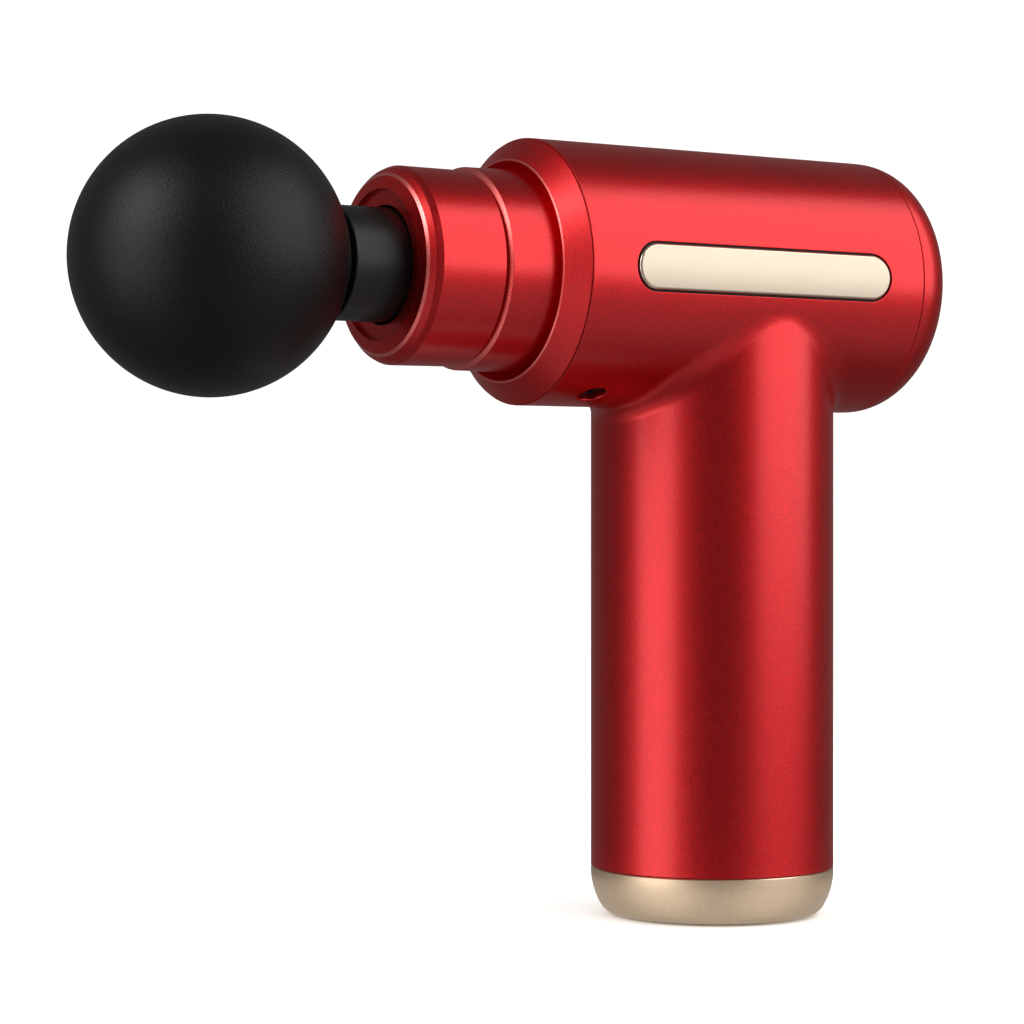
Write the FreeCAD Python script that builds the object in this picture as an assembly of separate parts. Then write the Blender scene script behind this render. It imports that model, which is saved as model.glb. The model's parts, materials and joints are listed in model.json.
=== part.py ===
import FreeCAD, Part
import math
import os

from FreeCAD import Vector

# A percussion massage gun, in millimetres. +Z is up. The origin is the middle of the foot pad,
# below the handle. The barrel lies along X, and the ball head is at its -X end.

# ---- driving dimensions: casing ----
AXIS_Z = 110.85           # barrel axis above the table
BARREL_R = 22.5
BARREL_BORE_R = 20.3
BARREL_FRONT_X = -40.3    # where the front cone meets the barrel
LIP_X = -43.6             # inner edge of the front cone
LIP_R = 18.5
REAR_SEAM_X = 29.5
REAR_END_X = 40.6
HANDLE_R = 21.25
HANDLE_BORE_R = 19.05
CREASE_R = 3.0            # blend of the handle into the barrel
BASE_SEAM_Z = 8.4
SEAM = 0.12               # half of the gap at a seam in the casing
FIT = 0.03                # gap between pieces that are fitted together
RUN = 0.05                # radial running clearance

# ---- driving dimensions: nose ----
FACE_X = -67.6
BEZEL_R = 16.4
SLEEVE_X = -52.6
SLEEVE_R = 17.0
CARRIER_R = 14.0
BUSH_R = 12.0

# ---- driving dimensions: drive ----
STROKE = 7.0
CRANK_R = STROKE / 2
PISTON_R = 9.4
PISTON_FRONT_X = -77.0
PISTON_REAR_X = -29.5
SOCKET_R = 6.0
SOCKET_DEPTH = 17.0
ROLLER_R = 4.5
ROLLER_PLAY = 0.8         # the slot is this much wider than the roller on each side
SHAFT_R = 2.0
BELL_R = 15.0
BELL_Z = 77.6
FLOOR_Z = 97.5            # underside of the drive frame's floor
FLOOR_T = 3.0
BALL_R = 22.35
BALL_X = -98.4

# ---- driving dimensions: plates, button, battery ----
PLATE_X = -4.7
PLATE_LENGTH = 53.6
PLATE_HEIGHT = 8.3
PLATE_GAP = 0.35
POCKET_Y = 21.0           # floor of the pocket that holds a side plate
GASKET_TOP_Y = 21.75
BUTTON_R = 6.4
BUTTON_TRAVEL = 1.0
CELL_R = 9.2
CELL_LENGTH = 65.0
CELL_Z = 10.9
CELL_Y = 9.4
PORT_Z = 21.0
BOARD_X = 12.0
SCREW_X = -31.1           # the two screws that hold the drive frame
SCREW_ANGLE = 22.0        # degrees from straight down, to each side

X_AXIS = Vector(1, 0, 0)
Z_AXIS = Vector(0, 0, 1)


# ---- helpers ----
def outline_wire(outline, place):
    """A closed wire. An item is a point, or (middle, end) for a three-point arc."""
    edges = []
    here = place(outline[0])
    for item in list(outline[1:]) + [outline[0]]:
        if isinstance(item[0], tuple):
            middle, end = place(item[0]), place(item[1])
            edges.append(Part.Arc(here, middle, end).toShape())
        else:
            end = place(item)
            if here.distanceToPoint(end) > 1e-6:
                edges.append(Part.LineSegment(here, end).toShape())
        here = end
    return Part.Wire(edges)


def turn_x(*outline):
    """A solid turned about the barrel axis from (x, radius) points."""
    wire = outline_wire(outline, lambda p: Vector(p[0], 0, AXIS_Z + p[1]))
    return Part.Face(wire).revolve(Vector(0, 0, AXIS_Z), X_AXIS, 360)


def turn_z(*outline):
    """A solid turned about the handle axis from (radius, z) points."""
    wire = outline_wire(outline, lambda p: Vector(p[0], 0, p[1]))
    return Part.Face(wire).revolve(Vector(0, 0, 0), Z_AXIS, 360)


def tube_x(x0, x1, outer, inner=0.0, y=0.0, z=AXIS_Z):
    """A round bar or tube along X."""
    body = Part.makeCylinder(outer, x1 - x0, Vector(x0, y, z), X_AXIS)
    if inner:
        body = body.cut(Part.makeCylinder(inner, x1 - x0 + 2, Vector(x0 - 1, y, z), X_AXIS))
    return body


def tube_z(z0, z1, outer, inner=0.0, x=0.0, y=0.0):
    """A round bar or tube along Z."""
    body = Part.makeCylinder(outer, z1 - z0, Vector(x, y, z0), Z_AXIS)
    if inner:
        body = body.cut(Part.makeCylinder(inner, z1 - z0 + 2, Vector(x, y, z0 - 1), Z_AXIS))
    return body


def block(x0, x1, y0, y1, z0, z1):
    return Part.makeBox(x1 - x0, y1 - y0, z1 - z0, Vector(x0, y0, z0))


def fuse(*shapes):
    return shapes[0].fuse(list(shapes[1:])).removeSplitter()


def pill_y(length, height, y0, y1, x, z):
    """A rounded bar shape in the XZ plane, reaching from y0 to y1."""
    reach = length / 2 - height / 2
    ends = [Part.makeCylinder(height / 2, y1 - y0, Vector(x + s * reach, y0, z), Vector(0, 1, 0))
            for s in (-1, 1)]
    return fuse(block(x - reach, x + reach, y0, y1, z - height / 2, z + height / 2), *ends)


def around(count, radius):
    """Evenly spaced (x, y) places on a circle about the handle axis."""
    turns = [2 * math.pi * i / count for i in range(count)]
    return [(radius * math.cos(a), radius * math.sin(a)) for a in turns]


def slanted_bar(radius, near, far, angle):
    """A bar across the barrel at SCREW_X, from near to far off its axis, angle from straight down."""
    a = math.radians(angle)
    out = Vector(0, -math.sin(a), -math.cos(a))
    return Part.makeCylinder(radius, far - near, Vector(SCREW_X, 0, AXIS_Z) + out * near, out)


def ball_bearing(z0, width, inner, outer, x=0.0, y=0.0):
    """Inner ring, outer ring and balls, as separate solids about a vertical axis."""
    ring = (outer - inner) * 0.3
    pitch = (inner + outer) / 2
    ball_r = (outer - inner) / 2 - ring - 0.02
    count = int(2 * math.pi * pitch / (2.6 * ball_r))
    solids = [tube_z(z0, z0 + width, inner + ring, inner, x, y)]
    solids.append(tube_z(z0, z0 + width, outer, outer - ring, x, y))
    for dx, dy in around(count, pitch):
        solids.append(Part.makeSphere(ball_r, Vector(x + dx, y + dy, z0 + width / 2)))
    return Part.makeCompound(solids)


# ---- casing ----
HOUSING_FRONT_X = BARREL_FRONT_X + SEAM
HOUSING_REAR_X = REAR_SEAM_X - SEAM
HOUSING_BOTTOM_Z = BASE_SEAM_Z + SEAM
SCREW_HOLE_R = 2.4
PORT_LENGTH = 9.4
PORT_HEIGHT = 3.6


def handle_outside():
    """The handle's outer cylinder, drawn in quarters so that its meeting line with the barrel
    is split in front, behind and at both sides."""
    r, q = HANDLE_R, HANDLE_R * math.sqrt(0.5)
    path = [(-r, 0.0), ((-q, -q), (0.0, -r)), ((q, -q), (r, 0.0)), ((q, q), (0.0, r)), ((-q, q), (-r, 0.0))]
    wire = outline_wire(path, lambda p: Vector(p[0], p[1], HOUSING_BOTTOM_Z))
    return Part.Face(wire).extrude(Vector(0, 0, AXIS_Z - HOUSING_BOTTOM_Z))


def on_crease(edge):
    """True for an edge where the handle's outside meets the barrel's outside."""
    low = AXIS_Z - BARREL_R - 1
    ends = [v.Point for v in edge.Vertexes]
    return len(ends) == 2 and all(
        abs(math.hypot(p.x, p.y) - HANDLE_R) < 0.01 and low < p.z < AXIS_Z for p in ends)


def main_housing():
    """The T-shaped shell: barrel and handle in one, with pockets for the side plates."""
    outside = tube_x(HOUSING_FRONT_X, HOUSING_REAR_X, BARREL_R).fuse(handle_outside())
    body = outside.makeFillet(CREASE_R, [e for e in outside.Edges if on_crease(e)])
    body = body.cut(tube_x(HOUSING_FRONT_X - 1, HOUSING_REAR_X + 1, BARREL_BORE_R))
    body = body.cut(tube_z(0, AXIS_Z, HANDLE_BORE_R))
    for side in (-1, 1):
        y0, y1 = sorted((side * POCKET_Y, side * (BARREL_R + 1)))
        body = body.cut(pill_y(PLATE_LENGTH, PLATE_HEIGHT, y0, y1, PLATE_X, AXIS_Z))
        body = body.cut(slanted_bar(SCREW_HOLE_R, BARREL_BORE_R - 2, BARREL_R + 2, side * SCREW_ANGLE))
    return body.cut(port_cutter(HANDLE_R + 1))


def port_cutter(reach):
    """The rounded opening for the charging socket, through the handle's rear wall."""
    half = (PORT_LENGTH - PORT_HEIGHT) / 2
    body = block(HANDLE_BORE_R - 6, reach, -half, half, PORT_Z - PORT_HEIGHT / 2, PORT_Z + PORT_HEIGHT / 2)
    for side in (-1, 1):
        body = body.fuse(tube_x(HANDLE_BORE_R - 6, reach, PORT_HEIGHT / 2, 0, side * half, PORT_Z))
    return body


RING_REAR_X = -36.5
RING_WEB_X = -42.3


def front_ring():
    """The cone at the front of the barrel, countersunk around the sleeve, with a spigot behind."""
    spigot_r = BARREL_BORE_R - FIT
    return turn_x(
        (LIP_X, LIP_R), (BARREL_FRONT_X - SEAM, BARREL_R),
        (BARREL_FRONT_X - SEAM, spigot_r), (RING_REAR_X, spigot_r), (RING_REAR_X, SLEEVE_R + FIT),
        (RING_WEB_X, SLEEVE_R + FIT))


def rear_cap():
    """The domed cap on the back of the barrel, with openings for the button and four lights."""
    spigot_r = BARREL_BORE_R - FIT
    wall = 2.2
    front = REAR_SEAM_X + SEAM
    body = turn_x(
        (front, spigot_r), (front, BARREL_R - 0.03), ((34.5, 21.05), (37.6, 17.3)),
        ((39.8, 8.8), (REAR_END_X, 0.0)), (REAR_END_X - wall, 0.0),
        ((39.8 - wall, 8.4), (37.0 - wall, 15.6)), ((32.6, 18.2), (29.0, 18.9)),
        (25.5, 18.9), (25.5, spigot_r))
    body = body.cut(tube_x(25, 45, BUTTON_R + 0.3))
    for y, z in light_places():
        body = body.cut(tube_x(25, 45, LIGHT_R, 0, y, z))
    return body


LIGHT_R = 0.8
LIGHT_CIRCLE_R = 10.6
LIGHT_STEP = 17.0         # degrees between lights


def light_places():
    """Four lights in an arc above the button."""
    places = []
    for i in range(4):
        a = math.radians((i - 1.5) * LIGHT_STEP)
        places.append((LIGHT_CIRCLE_R * math.sin(a), AXIS_Z + LIGHT_CIRCLE_R * math.cos(a)))
    return places


def light_pipes():
    """Four clear rods that carry the board's lights to the rear cap."""
    rods = [tube_x(BOARD_REAR_X + 0.5, 39.45, LIGHT_R - FIT, 0, y, z) for y, z in light_places()]
    return Part.makeCompound(rods)


def side_plate(side):
    """A raised plate that fills a side pocket, with its outer edge bevelled."""
    gap = 2 * PLATE_GAP
    y0, y1 = sorted((side * (POCKET_Y + FIT), side * (BARREL_R + 2)))
    plate = pill_y(PLATE_LENGTH - gap, PLATE_HEIGHT - gap, y0, y1, PLATE_X, AXIS_Z)
    plate = plate.common(tube_x(-60, 60, BARREL_R + 0.3))
    rim = [e for e in plate.Edges if all(abs(v.Point.y) > BARREL_R - 0.6 for v in e.Vertexes)]
    return plate.makeChamfer(0.3, [e for e in rim if e.Length > 5])


def left_plate():
    return side_plate(-1)


def right_plate():
    return side_plate(1)


def plate_gaskets():
    """Two thin rubber loops that fill the bottom of the gap around each side plate."""
    loops = []
    for side in (-1, 1):
        y0, y1 = sorted((side * (POCKET_Y + FIT), side * GASKET_TOP_Y))
        outer = pill_y(PLATE_LENGTH - 2 * FIT, PLATE_HEIGHT - 2 * FIT, y0, y1, PLATE_X, AXIS_Z)
        hole = 2 * (PLATE_GAP - FIT)
        inner = pill_y(PLATE_LENGTH - hole, PLATE_HEIGHT - hole, y0 - 1, y1 + 1, PLATE_X, AXIS_Z)
        loops.append(outer.cut(inner))
    return Part.makeCompound(loops)


def base_cap():
    """The rounded metal cup under the handle, in two blending curves, with a spigot on top."""
    upper_r, turn = 12.0, math.radians(31.7)
    bottom = 0.3
    start_z = 7.9

    def upper(a):
        return (HANDLE_R - upper_r * (1 - math.cos(a)), start_z - upper_r * math.sin(a))

    join = upper(turn)
    drop = join[1] - bottom
    lower_r = drop / (1 - math.sin(turn))
    centre = (join[0] - lower_r * math.cos(turn), bottom + lower_r)
    mid = (turn + math.pi / 2) / 2
    lower_mid = (centre[0] + lower_r * math.cos(mid), centre[1] - lower_r * math.sin(mid))
    top = BASE_SEAM_Z - SEAM
    body = turn_z(
        (0.0, bottom), (centre[0], bottom), (lower_mid, join), (upper(turn / 2), (HANDLE_R, start_z)),
        (HANDLE_R, top), (HANDLE_BORE_R - FIT, top), (HANDLE_BORE_R - FIT, 10.4), (17.0, 10.4),
        (17.0, 5.5), (15.0, 3.0), (0.0, 3.0))
    body = body.cut(tube_z(-1, PAD_TOP_Z, PAD_R + FIT))
    for side in (-1, 1):
        body = body.fuse(tube_z(2.9, 7.4, 3.4, 0, BASE_SCREW_X * side))
    for side in (-1, 1):
        body = body.cut(tube_z(0, 12, 1.6, 0, BASE_SCREW_X * side))
        body = body.cut(tube_z(0, 3.3, 2.9, 0, BASE_SCREW_X * side))
    return body.removeSplitter()


BASE_SCREW_X = 10.7
PAD_R = 16.0
PAD_TOP_Z = 1.2


def base_pad():
    """The rubber foot, which covers the base screws."""
    top = PAD_TOP_Z - FIT
    return turn_z((0.0, 0.0), (PAD_R - 0.4, 0.0), (PAD_R, 0.4), (PAD_R, top), (0.0, top))


def base_screws():
    """Two countersunk screws from the base into the lower cell holder."""
    solids = []
    for side in (-1, 1):
        x = BASE_SCREW_X * side
        solids.append(fuse(tube_z(1.5, 3.2, 2.6, 0, x), tube_z(3.2, 13.6, 1.3, 0, x)))
    return Part.makeCompound(solids)


# ---- nose ----
def nose_bezel():
    """The front collar: a dished face with a recess, a bevel, a shoulder, and a spigot behind."""
    recess_r = 12.4
    return turn_x(
        (FACE_X, recess_r), (FACE_X + 0.4, 14.4), (FACE_X + 1.1, 15.45),
        ((FACE_X + 1.75, 15.97), (FACE_X + 2.9, BEZEL_R)), (SLEEVE_X - 0.55, BEZEL_R - 0.1),
        (SLEEVE_X - 0.35, BEZEL_R - 0.5), (SLEEVE_X - 0.35, 15.0 - FIT), (-47.0, 15.0 - FIT),
        (-47.0, CARRIER_R + FIT), (-61.5, CARRIER_R + FIT), (-61.5, 11.5), (-65.0, 11.5),
        (-65.0, PISTON_R + 0.4), (FACE_X + 0.8, PISTON_R + 0.4), (FACE_X + 0.8, recess_r))


def nose_sleeve():
    """The second collar, which widens slightly to the rear and is held by its flange."""
    front_bore, bore = 15.0, CARRIER_R + FIT
    return turn_x(
        (SLEEVE_X, front_bore), (SLEEVE_X, 15.6), (SLEEVE_X + 0.6, SLEEVE_R - 0.1),
        (RING_WEB_X, SLEEVE_R), (RING_REAR_X + FIT, SLEEVE_R), (RING_REAR_X + FIT, 19.9),
        (-34.4, 19.9), (-34.4, bore), (-46.9, bore), (-46.9, front_bore))


def wiper_seal():
    """The rubber lip ring that keeps dust out of the bush."""
    lip_r = PISTON_R + 0.06
    return turn_x((-64.9, 9.9), (-64.9, 11.4), (-62.0, 11.4), (-62.0, lip_r), (-62.7, lip_r))


def shaft_bush():
    """The long plain bush that the piston slides in."""
    return tube_x(-61.3, -31.5, BUSH_R, PISTON_R + RUN)


# ---- drive frame ----
RIB_FRONT_X = -34.3
RIB_REAR_X = -27.9
CHEEK_Y = 16.3
FRAME_REAR_X = 21.0


def drive_frame():
    """The cast frame: a nose tube for the bush, a rib, two cheeks, and a floor for the motor."""
    inside = BARREL_BORE_R - 0.15
    body = tube_x(-61.3, RIB_FRONT_X + 1, CARRIER_R)
    body = body.fuse(tube_x(RIB_FRONT_X, RIB_REAR_X, inside))
    cheeks = tube_x(RIB_REAR_X - 1, FRAME_REAR_X, inside)
    cheeks = cheeks.common(block(-40, 40, -30, 30, FLOOR_Z, AXIS_Z + 6))
    cheeks = cheeks.cut(block(-40, 40, -CHEEK_Y, CHEEK_Y, 0, 200))
    floor = tube_z(FLOOR_Z, FLOOR_Z + FLOOR_T, HANDLE_BORE_R - 0.15)
    wall = tube_x(FRAME_REAR_X - 2, FRAME_REAR_X, inside).common(block(-40, 40, -30, 30, FLOOR_Z, AXIS_Z + 6))
    body = body.fuse([cheeks, floor, wall])
    body = body.cut(tube_x(-70, RIB_REAR_X + 1, BUSH_R + FIT))
    body = body.cut(tube_z(FLOOR_Z - 1, FLOOR_Z + FLOOR_T + 1, 5.6))
    for x, y in around(4, MOTOR_SCREW_CIRCLE):
        body = body.cut(tube_z(FLOOR_Z - 1, FLOOR_Z + FLOOR_T + 1, 1.1, 0, x, y))
        body = body.cut(tube_z(FLOOR_Z + 1.6, FLOOR_Z + FLOOR_T + 1, 2.1, 0, x, y))
    for side in (-1, 1):
        body = body.cut(slanted_bar(1.25, BUSH_R + 1, BARREL_R, side * SCREW_ANGLE))
    body = body.cut(tube_z(FLOOR_Z - 1, FLOOR_Z + FLOOR_T + 1, 2.2, 0, HARNESS_X))
    body = body.cut(block(FRAME_REAR_X - 3, FRAME_REAR_X + 1, -8, 8, HARNESS_Z - 3, AXIS_Z + 2))
    return body.removeSplitter()


def frame_screws():
    """Two screws through the barrel into the frame's rib, set deep in their holes."""
    solids = []
    for side in (-1, 1):
        head = slanted_bar(2.2, 20.2, 21.4, side * SCREW_ANGLE)
        head = head.cut(slanted_bar(0.9, 20.7, 22.0, side * SCREW_ANGLE))
        solids.append(fuse(head, slanted_bar(1.2, 13.4, 20.3, side * SCREW_ANGLE)))
    return Part.makeCompound(solids)


# ---- motor and crank ----
MOTOR_SCREW_CIRCLE = 9.0
MOUNT_Z = 94.4
BEARING_R = 4.0
TEETH = 12


def motor_mount():
    """The motor's flange and the tube that carries its bearings and stator."""
    top = FLOOR_Z - FIT
    body = fuse(tube_z(MOUNT_Z, top, 12.4), tube_z(80.4, MOUNT_Z + 1, 5.4))
    body = body.cut(tube_z(80, top + 1, 3.2))
    body = body.cut(tube_z(80, 83.0, BEARING_R + FIT))
    body = body.cut(tube_z(top - 2.6, top + 1, BEARING_R + FIT))
    for x, y in around(4, MOTOR_SCREW_CIRCLE):
        body = body.cut(tube_z(MOUNT_Z - 1, top + 1, 0.95, 0, x, y))
    return body


def motor_screws():
    """Four screws down through the frame's floor into the motor's flange."""
    solids = []
    for x, y in around(4, MOTOR_SCREW_CIRCLE):
        head = tube_z(FLOOR_Z + 1.63, FLOOR_Z + 2.9, 1.9, 0, x, y)
        solids.append(fuse(head, tube_z(MOUNT_Z + 0.2, FLOOR_Z + 1.7, 0.9, 0, x, y)))
    return Part.makeCompound(solids)


def motor_bearings():
    low = ball_bearing(80.45, 2.5, SHAFT_R + FIT, BEARING_R)
    high = ball_bearing(FLOOR_Z - 2.6, 2.5, SHAFT_R + FIT, BEARING_R)
    return Part.makeCompound(low.Solids + high.Solids)


def turned(shape, degrees):
    copy = shape.copy()
    copy.rotate(Vector(0, 0, 0), Z_AXIS, degrees)
    return copy


def motor_stator():
    """The laminated core: a hub with twelve T-shaped teeth."""
    hub = tube_z(83.4, 91.4, 7.4, 5.4 + FIT)
    tooth = block(7.0, 12.0, -0.9, 0.9, 83.4, 91.4)
    tip = tube_z(83.4, 91.4, 12.6, 11.8).common(block(0, 20, -2.6, 2.6, 80, 95))
    teeth = [turned(tooth.fuse(tip), 360 / TEETH * i) for i in range(TEETH)]
    return fuse(hub, *teeth)


def motor_windings():
    """A copper coil around each tooth."""
    coil = block(7.9, 11.5, -1.75, 1.75, 82.4, 92.4).cut(block(7.0, 12.0, -0.95, 0.95, 83.3, 91.5))
    return Part.makeCompound([turned(coil, 360 / TEETH * i) for i in range(TEETH)])


def motor_bell():
    """The rotating steel cup around the stator."""
    cup = turn_z(
        (SHAFT_R + FIT, BELL_Z), (BELL_R - 0.8, BELL_Z), (BELL_R, BELL_Z + 0.8), (BELL_R, 93.0), (14.0, 93.0),
        (14.0, 79.4), (SHAFT_R + FIT, 79.4))
    for x, y in around(6, 9.0):
        cup = cup.cut(tube_z(BELL_Z - 1, 80, 2.4, 0, x, y))
    return cup


def motor_magnets():
    """Fourteen curved magnets inside the bell."""
    count = 14
    ring = tube_z(82.0, 92.6, 14.0 - FIT, 13.1)
    piece = ring.common(block(0, 20, -2.75, 2.75, 80, 95))
    return Part.makeCompound([turned(piece, 360 / count * i) for i in range(count)])


def motor_shaft():
    return tube_z(BELL_Z + 0.1, 106.2, SHAFT_R)


DISC_Z = 101.3
DISC_TOP_Z = 106.3
ROLLER_Z = 108.7
ROLLER_T = 5.0
PIN_R = 1.5


def crank_disc():
    """The crank on the motor shaft, with a counterweight opposite the crank pin."""
    hub = tube_z(DISC_Z, DISC_TOP_Z, 8.0)
    weight = tube_z(DISC_Z, DISC_TOP_Z, 15.6).common(block(-14.5, 14.5, 1.0, 20, 90, 120))
    body = fuse(hub, weight).cut(tube_z(90, 120, SHAFT_R + FIT))
    body = body.cut(tube_z(90, 120, PIN_R + FIT, 0, 0, -CRANK_R - 0.001))
    return body


def crank_pin():
    """The hardened pin, with a shoulder under the roller and a head above it."""
    y = -CRANK_R
    low = tube_z(DISC_Z + 1.0, ROLLER_Z, PIN_R, 0, 0, y)
    shoulder = tube_z(DISC_TOP_Z + FIT, ROLLER_Z - FIT, 2.4, 0, 0, y)
    upper = tube_z(ROLLER_Z - 0.5, ROLLER_Z + ROLLER_T + 0.6, PIN_R, 0, 0, y)
    head = tube_z(ROLLER_Z + ROLLER_T + FIT, ROLLER_Z + ROLLER_T + 0.9, 2.3, 0, 0, y)
    return fuse(low, shoulder, upper, head)


def crank_roller():
    """The ball bearing on the crank pin that pushes the yoke."""
    return ball_bearing(ROLLER_Z, ROLLER_T, PIN_R + FIT, ROLLER_R, 0, -CRANK_R)


# ---- piston and yoke ----
SLOT_X = ROLLER_R + ROLLER_PLAY
SLOT_Y = CRANK_R + ROLLER_R + 0.5
STRIP_T = 0.8
YOKE_HALF_T = 3.4
YOKE_X = SLOT_X + STRIP_T + 2.6
YOKE_Y = SLOT_Y + 2.6
TONGUE_Y = 4.0
TONGUE_FRONT_X = -37.0
YOKE_PIN_X = -33.5


def yoke():
    """A slotted frame across the crank, with a tongue that enters the piston."""
    z0, z1 = AXIS_Z - YOKE_HALF_T, AXIS_Z + YOKE_HALF_T
    frame = block(-YOKE_X, YOKE_X, -YOKE_Y, YOKE_Y, z0, z1)
    frame = frame.makeFillet(1.5, [e for e in frame.Edges if abs(e.tangentAt(e.FirstParameter).z) > 0.9])
    tongue = block(TONGUE_FRONT_X, -YOKE_X + 1, -TONGUE_Y, TONGUE_Y, AXIS_Z - 2.6, AXIS_Z + 2.6)
    slot = block(-SLOT_X - STRIP_T, SLOT_X + STRIP_T, -SLOT_Y, SLOT_Y, z0 - 1, z1 + 1)
    pin_hole = tube_z(z0 - 5, z1 + 5, PIN_R + FIT, 0, YOKE_PIN_X)
    return fuse(frame, tongue).cut(slot).cut(pin_hole)


def yoke_wear_strips():
    """Two hardened strips on the slot's long sides."""
    solids = []
    for side in (-1, 1):
        x0, x1 = sorted((side * SLOT_X, side * (SLOT_X + STRIP_T - FIT)))
        solids.append(block(x0, x1, -SLOT_Y + FIT, SLOT_Y - FIT, AXIS_Z - YOKE_HALF_T, AXIS_Z + YOKE_HALF_T))
    return Part.makeCompound(solids)


def piston_shaft():
    """The sliding sleeve: a socket for the head in front, a forked end for the yoke behind."""
    body = turn_x(
        (PISTON_FRONT_X, SOCKET_R + 0.4), (PISTON_FRONT_X, PISTON_R - 0.5),
        (PISTON_FRONT_X + 0.5, PISTON_R), (PISTON_REAR_X, PISTON_R), (PISTON_REAR_X, 0.0),
        (PISTON_FRONT_X + SOCKET_DEPTH, 0.0), (PISTON_FRONT_X + SOCKET_DEPTH, SOCKET_R),
        (PISTON_FRONT_X + 0.4, SOCKET_R))
    body = body.cut(block(TONGUE_FRONT_X - 0.1, PISTON_REAR_X + 1, -TONGUE_Y - FIT, TONGUE_Y + FIT,
                          AXIS_Z - 2.6 - FIT, AXIS_Z + 2.6 + FIT))
    body = body.cut(tube_x(-57.0, TONGUE_FRONT_X - 3, 5.5))
    return body.cut(tube_z(80, 140, PIN_R + FIT, 0, YOKE_PIN_X))


def yoke_pin():
    """The cross pin that fixes the yoke in the piston."""
    return tube_z(AXIS_Z - 8.8, AXIS_Z + 8.8, PIN_R, 0, YOKE_PIN_X)


# ---- massage head ----
PLUG_R = SOCKET_R - RUN
PLUG_END_X = PISTON_FRONT_X + SOCKET_DEPTH - 1.0
NECK_R = 8.0
CORE_R = 19.85
CORE_WALL = 1.5
ORING_X = -66.5
ORING_R = 0.8


def head_core():
    """The hollow plastic ball inside the cover, with its neck and the plug that enters the piston."""
    neck_x = BALL_X + math.sqrt(CORE_R ** 2 - NECK_R ** 2)
    ball = Part.makeSphere(CORE_R, Vector(BALL_X, 0, AXIS_Z))
    neck = tube_x(neck_x - 2, PISTON_FRONT_X - 0.1, NECK_R)
    plug = turn_x((PISTON_FRONT_X - 1, 0.0), (PISTON_FRONT_X - 1, PLUG_R), (PLUG_END_X - 1, PLUG_R),
                  (PLUG_END_X, PLUG_R - 1), (PLUG_END_X, 0.0))
    body = fuse(ball, neck, plug)
    body = body.cut(Part.makeSphere(CORE_R - CORE_WALL, Vector(BALL_X, 0, AXIS_Z)))
    return body.cut(tube_x(ORING_X - ORING_R - 0.1, ORING_X + ORING_R + 0.1, SOCKET_R + 1, PLUG_R - 1.65))


def ball_cover():
    """The soft rubber ball around the core."""
    body = Part.makeSphere(BALL_R, Vector(BALL_X, 0, AXIS_Z))
    body = body.cut(Part.makeSphere(CORE_R + FIT, Vector(BALL_X, 0, AXIS_Z)))
    return body.cut(tube_x(BALL_X, BALL_X + 30, NECK_R + FIT))


def head_oring():
    """The O-ring in the plug's groove, which holds the head in its socket."""
    return Part.makeTorus(SOCKET_R - FIT - ORING_R, ORING_R, Vector(ORING_X, 0, AXIS_Z), X_AXIS)


# ---- power button and electronics ----
BOARD_FRONT_X = 24.0
BOARD_REAR_X = 25.2
SWITCH_REAR_X = 28.6
BUTTON_FACE_X = 40.9


def power_button():
    """The button in the rear cap, with a flange behind the wall and a plunger to the switch."""
    return turn_x(
        (SWITCH_REAR_X + BUTTON_TRAVEL + 0.05, 0.0), (SWITCH_REAR_X + BUTTON_TRAVEL + 0.05, 1.6), (35.2, 1.6),
        (35.2, 7.6), (36.6, 7.6), (36.6, BUTTON_R), (BUTTON_FACE_X - 0.6, BUTTON_R),
        (BUTTON_FACE_X, BUTTON_R - 0.6), (BUTTON_FACE_X, 0.0))


def tact_switch():
    """The dome switch under the button."""
    case = block(BOARD_REAR_X + FIT, 27.6, -3, 3, AXIS_Z - 3, AXIS_Z + 3)
    return fuse(case, tube_x(27.5, SWITCH_REAR_X, 1.7))


def control_board():
    """The round board behind the rear cap, with the lights on it."""
    board = tube_x(BOARD_FRONT_X, BOARD_REAR_X, 18.6)
    board = board.cut(tube_x(20, 30, 1.2, 0, 0, AXIS_Z - 14.5))
    return board


def board_lights():
    """Four small light-emitting chips under the light pipes."""
    chips = [block(BOARD_REAR_X, BOARD_REAR_X + 0.45, y - 0.7, y + 0.7, z - 0.7, z + 0.7)
             for y, z in light_places()]
    return Part.makeCompound(chips)


def driver_board():
    """The motor driver and charging board, upright behind the cells."""
    return block(BOARD_X, BOARD_X + 1.2, -12.0, 12.0, 14.0, 68.0)


def driver_chips():
    """Six power transistors and the driver chip."""
    chips = [block(BOARD_X + 1.2, BOARD_X + 2.2, y - 2.5, y + 2.5, z - 2.5, z + 2.5)
             for y in (-6.5, 0.0, 6.5) for z in (48.0, 56.0)]
    chips.append(block(BOARD_X + 1.2, BOARD_X + 2.2, -3.5, 3.5, 34.0, 41.0))
    return Part.makeCompound(chips)


def usb_port():
    """The charging socket: a pressed shell with a tongue, soldered to the driver board."""
    length, height, rear = 8.9, 3.2, HANDLE_R - 1.4
    half = (length - height) / 2

    def shell(h):
        body = block(BOARD_X + 1.25, rear, -half, half, PORT_Z - h / 2, PORT_Z + h / 2)
        for side in (-1, 1):
            body = body.fuse(tube_x(BOARD_X + 1.25, rear, h / 2, 0, side * half, PORT_Z))
        return body

    hollow = shell(height - 0.6).cut(block(0, BOARD_X + 2.5, -20, 20, 0, 60))
    tongue = block(BOARD_X + 2.4, rear - 1.2, -3.3, 3.3, PORT_Z - 0.35, PORT_Z + 0.35)
    return shell(height).cut(hollow).fuse(tongue)


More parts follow.
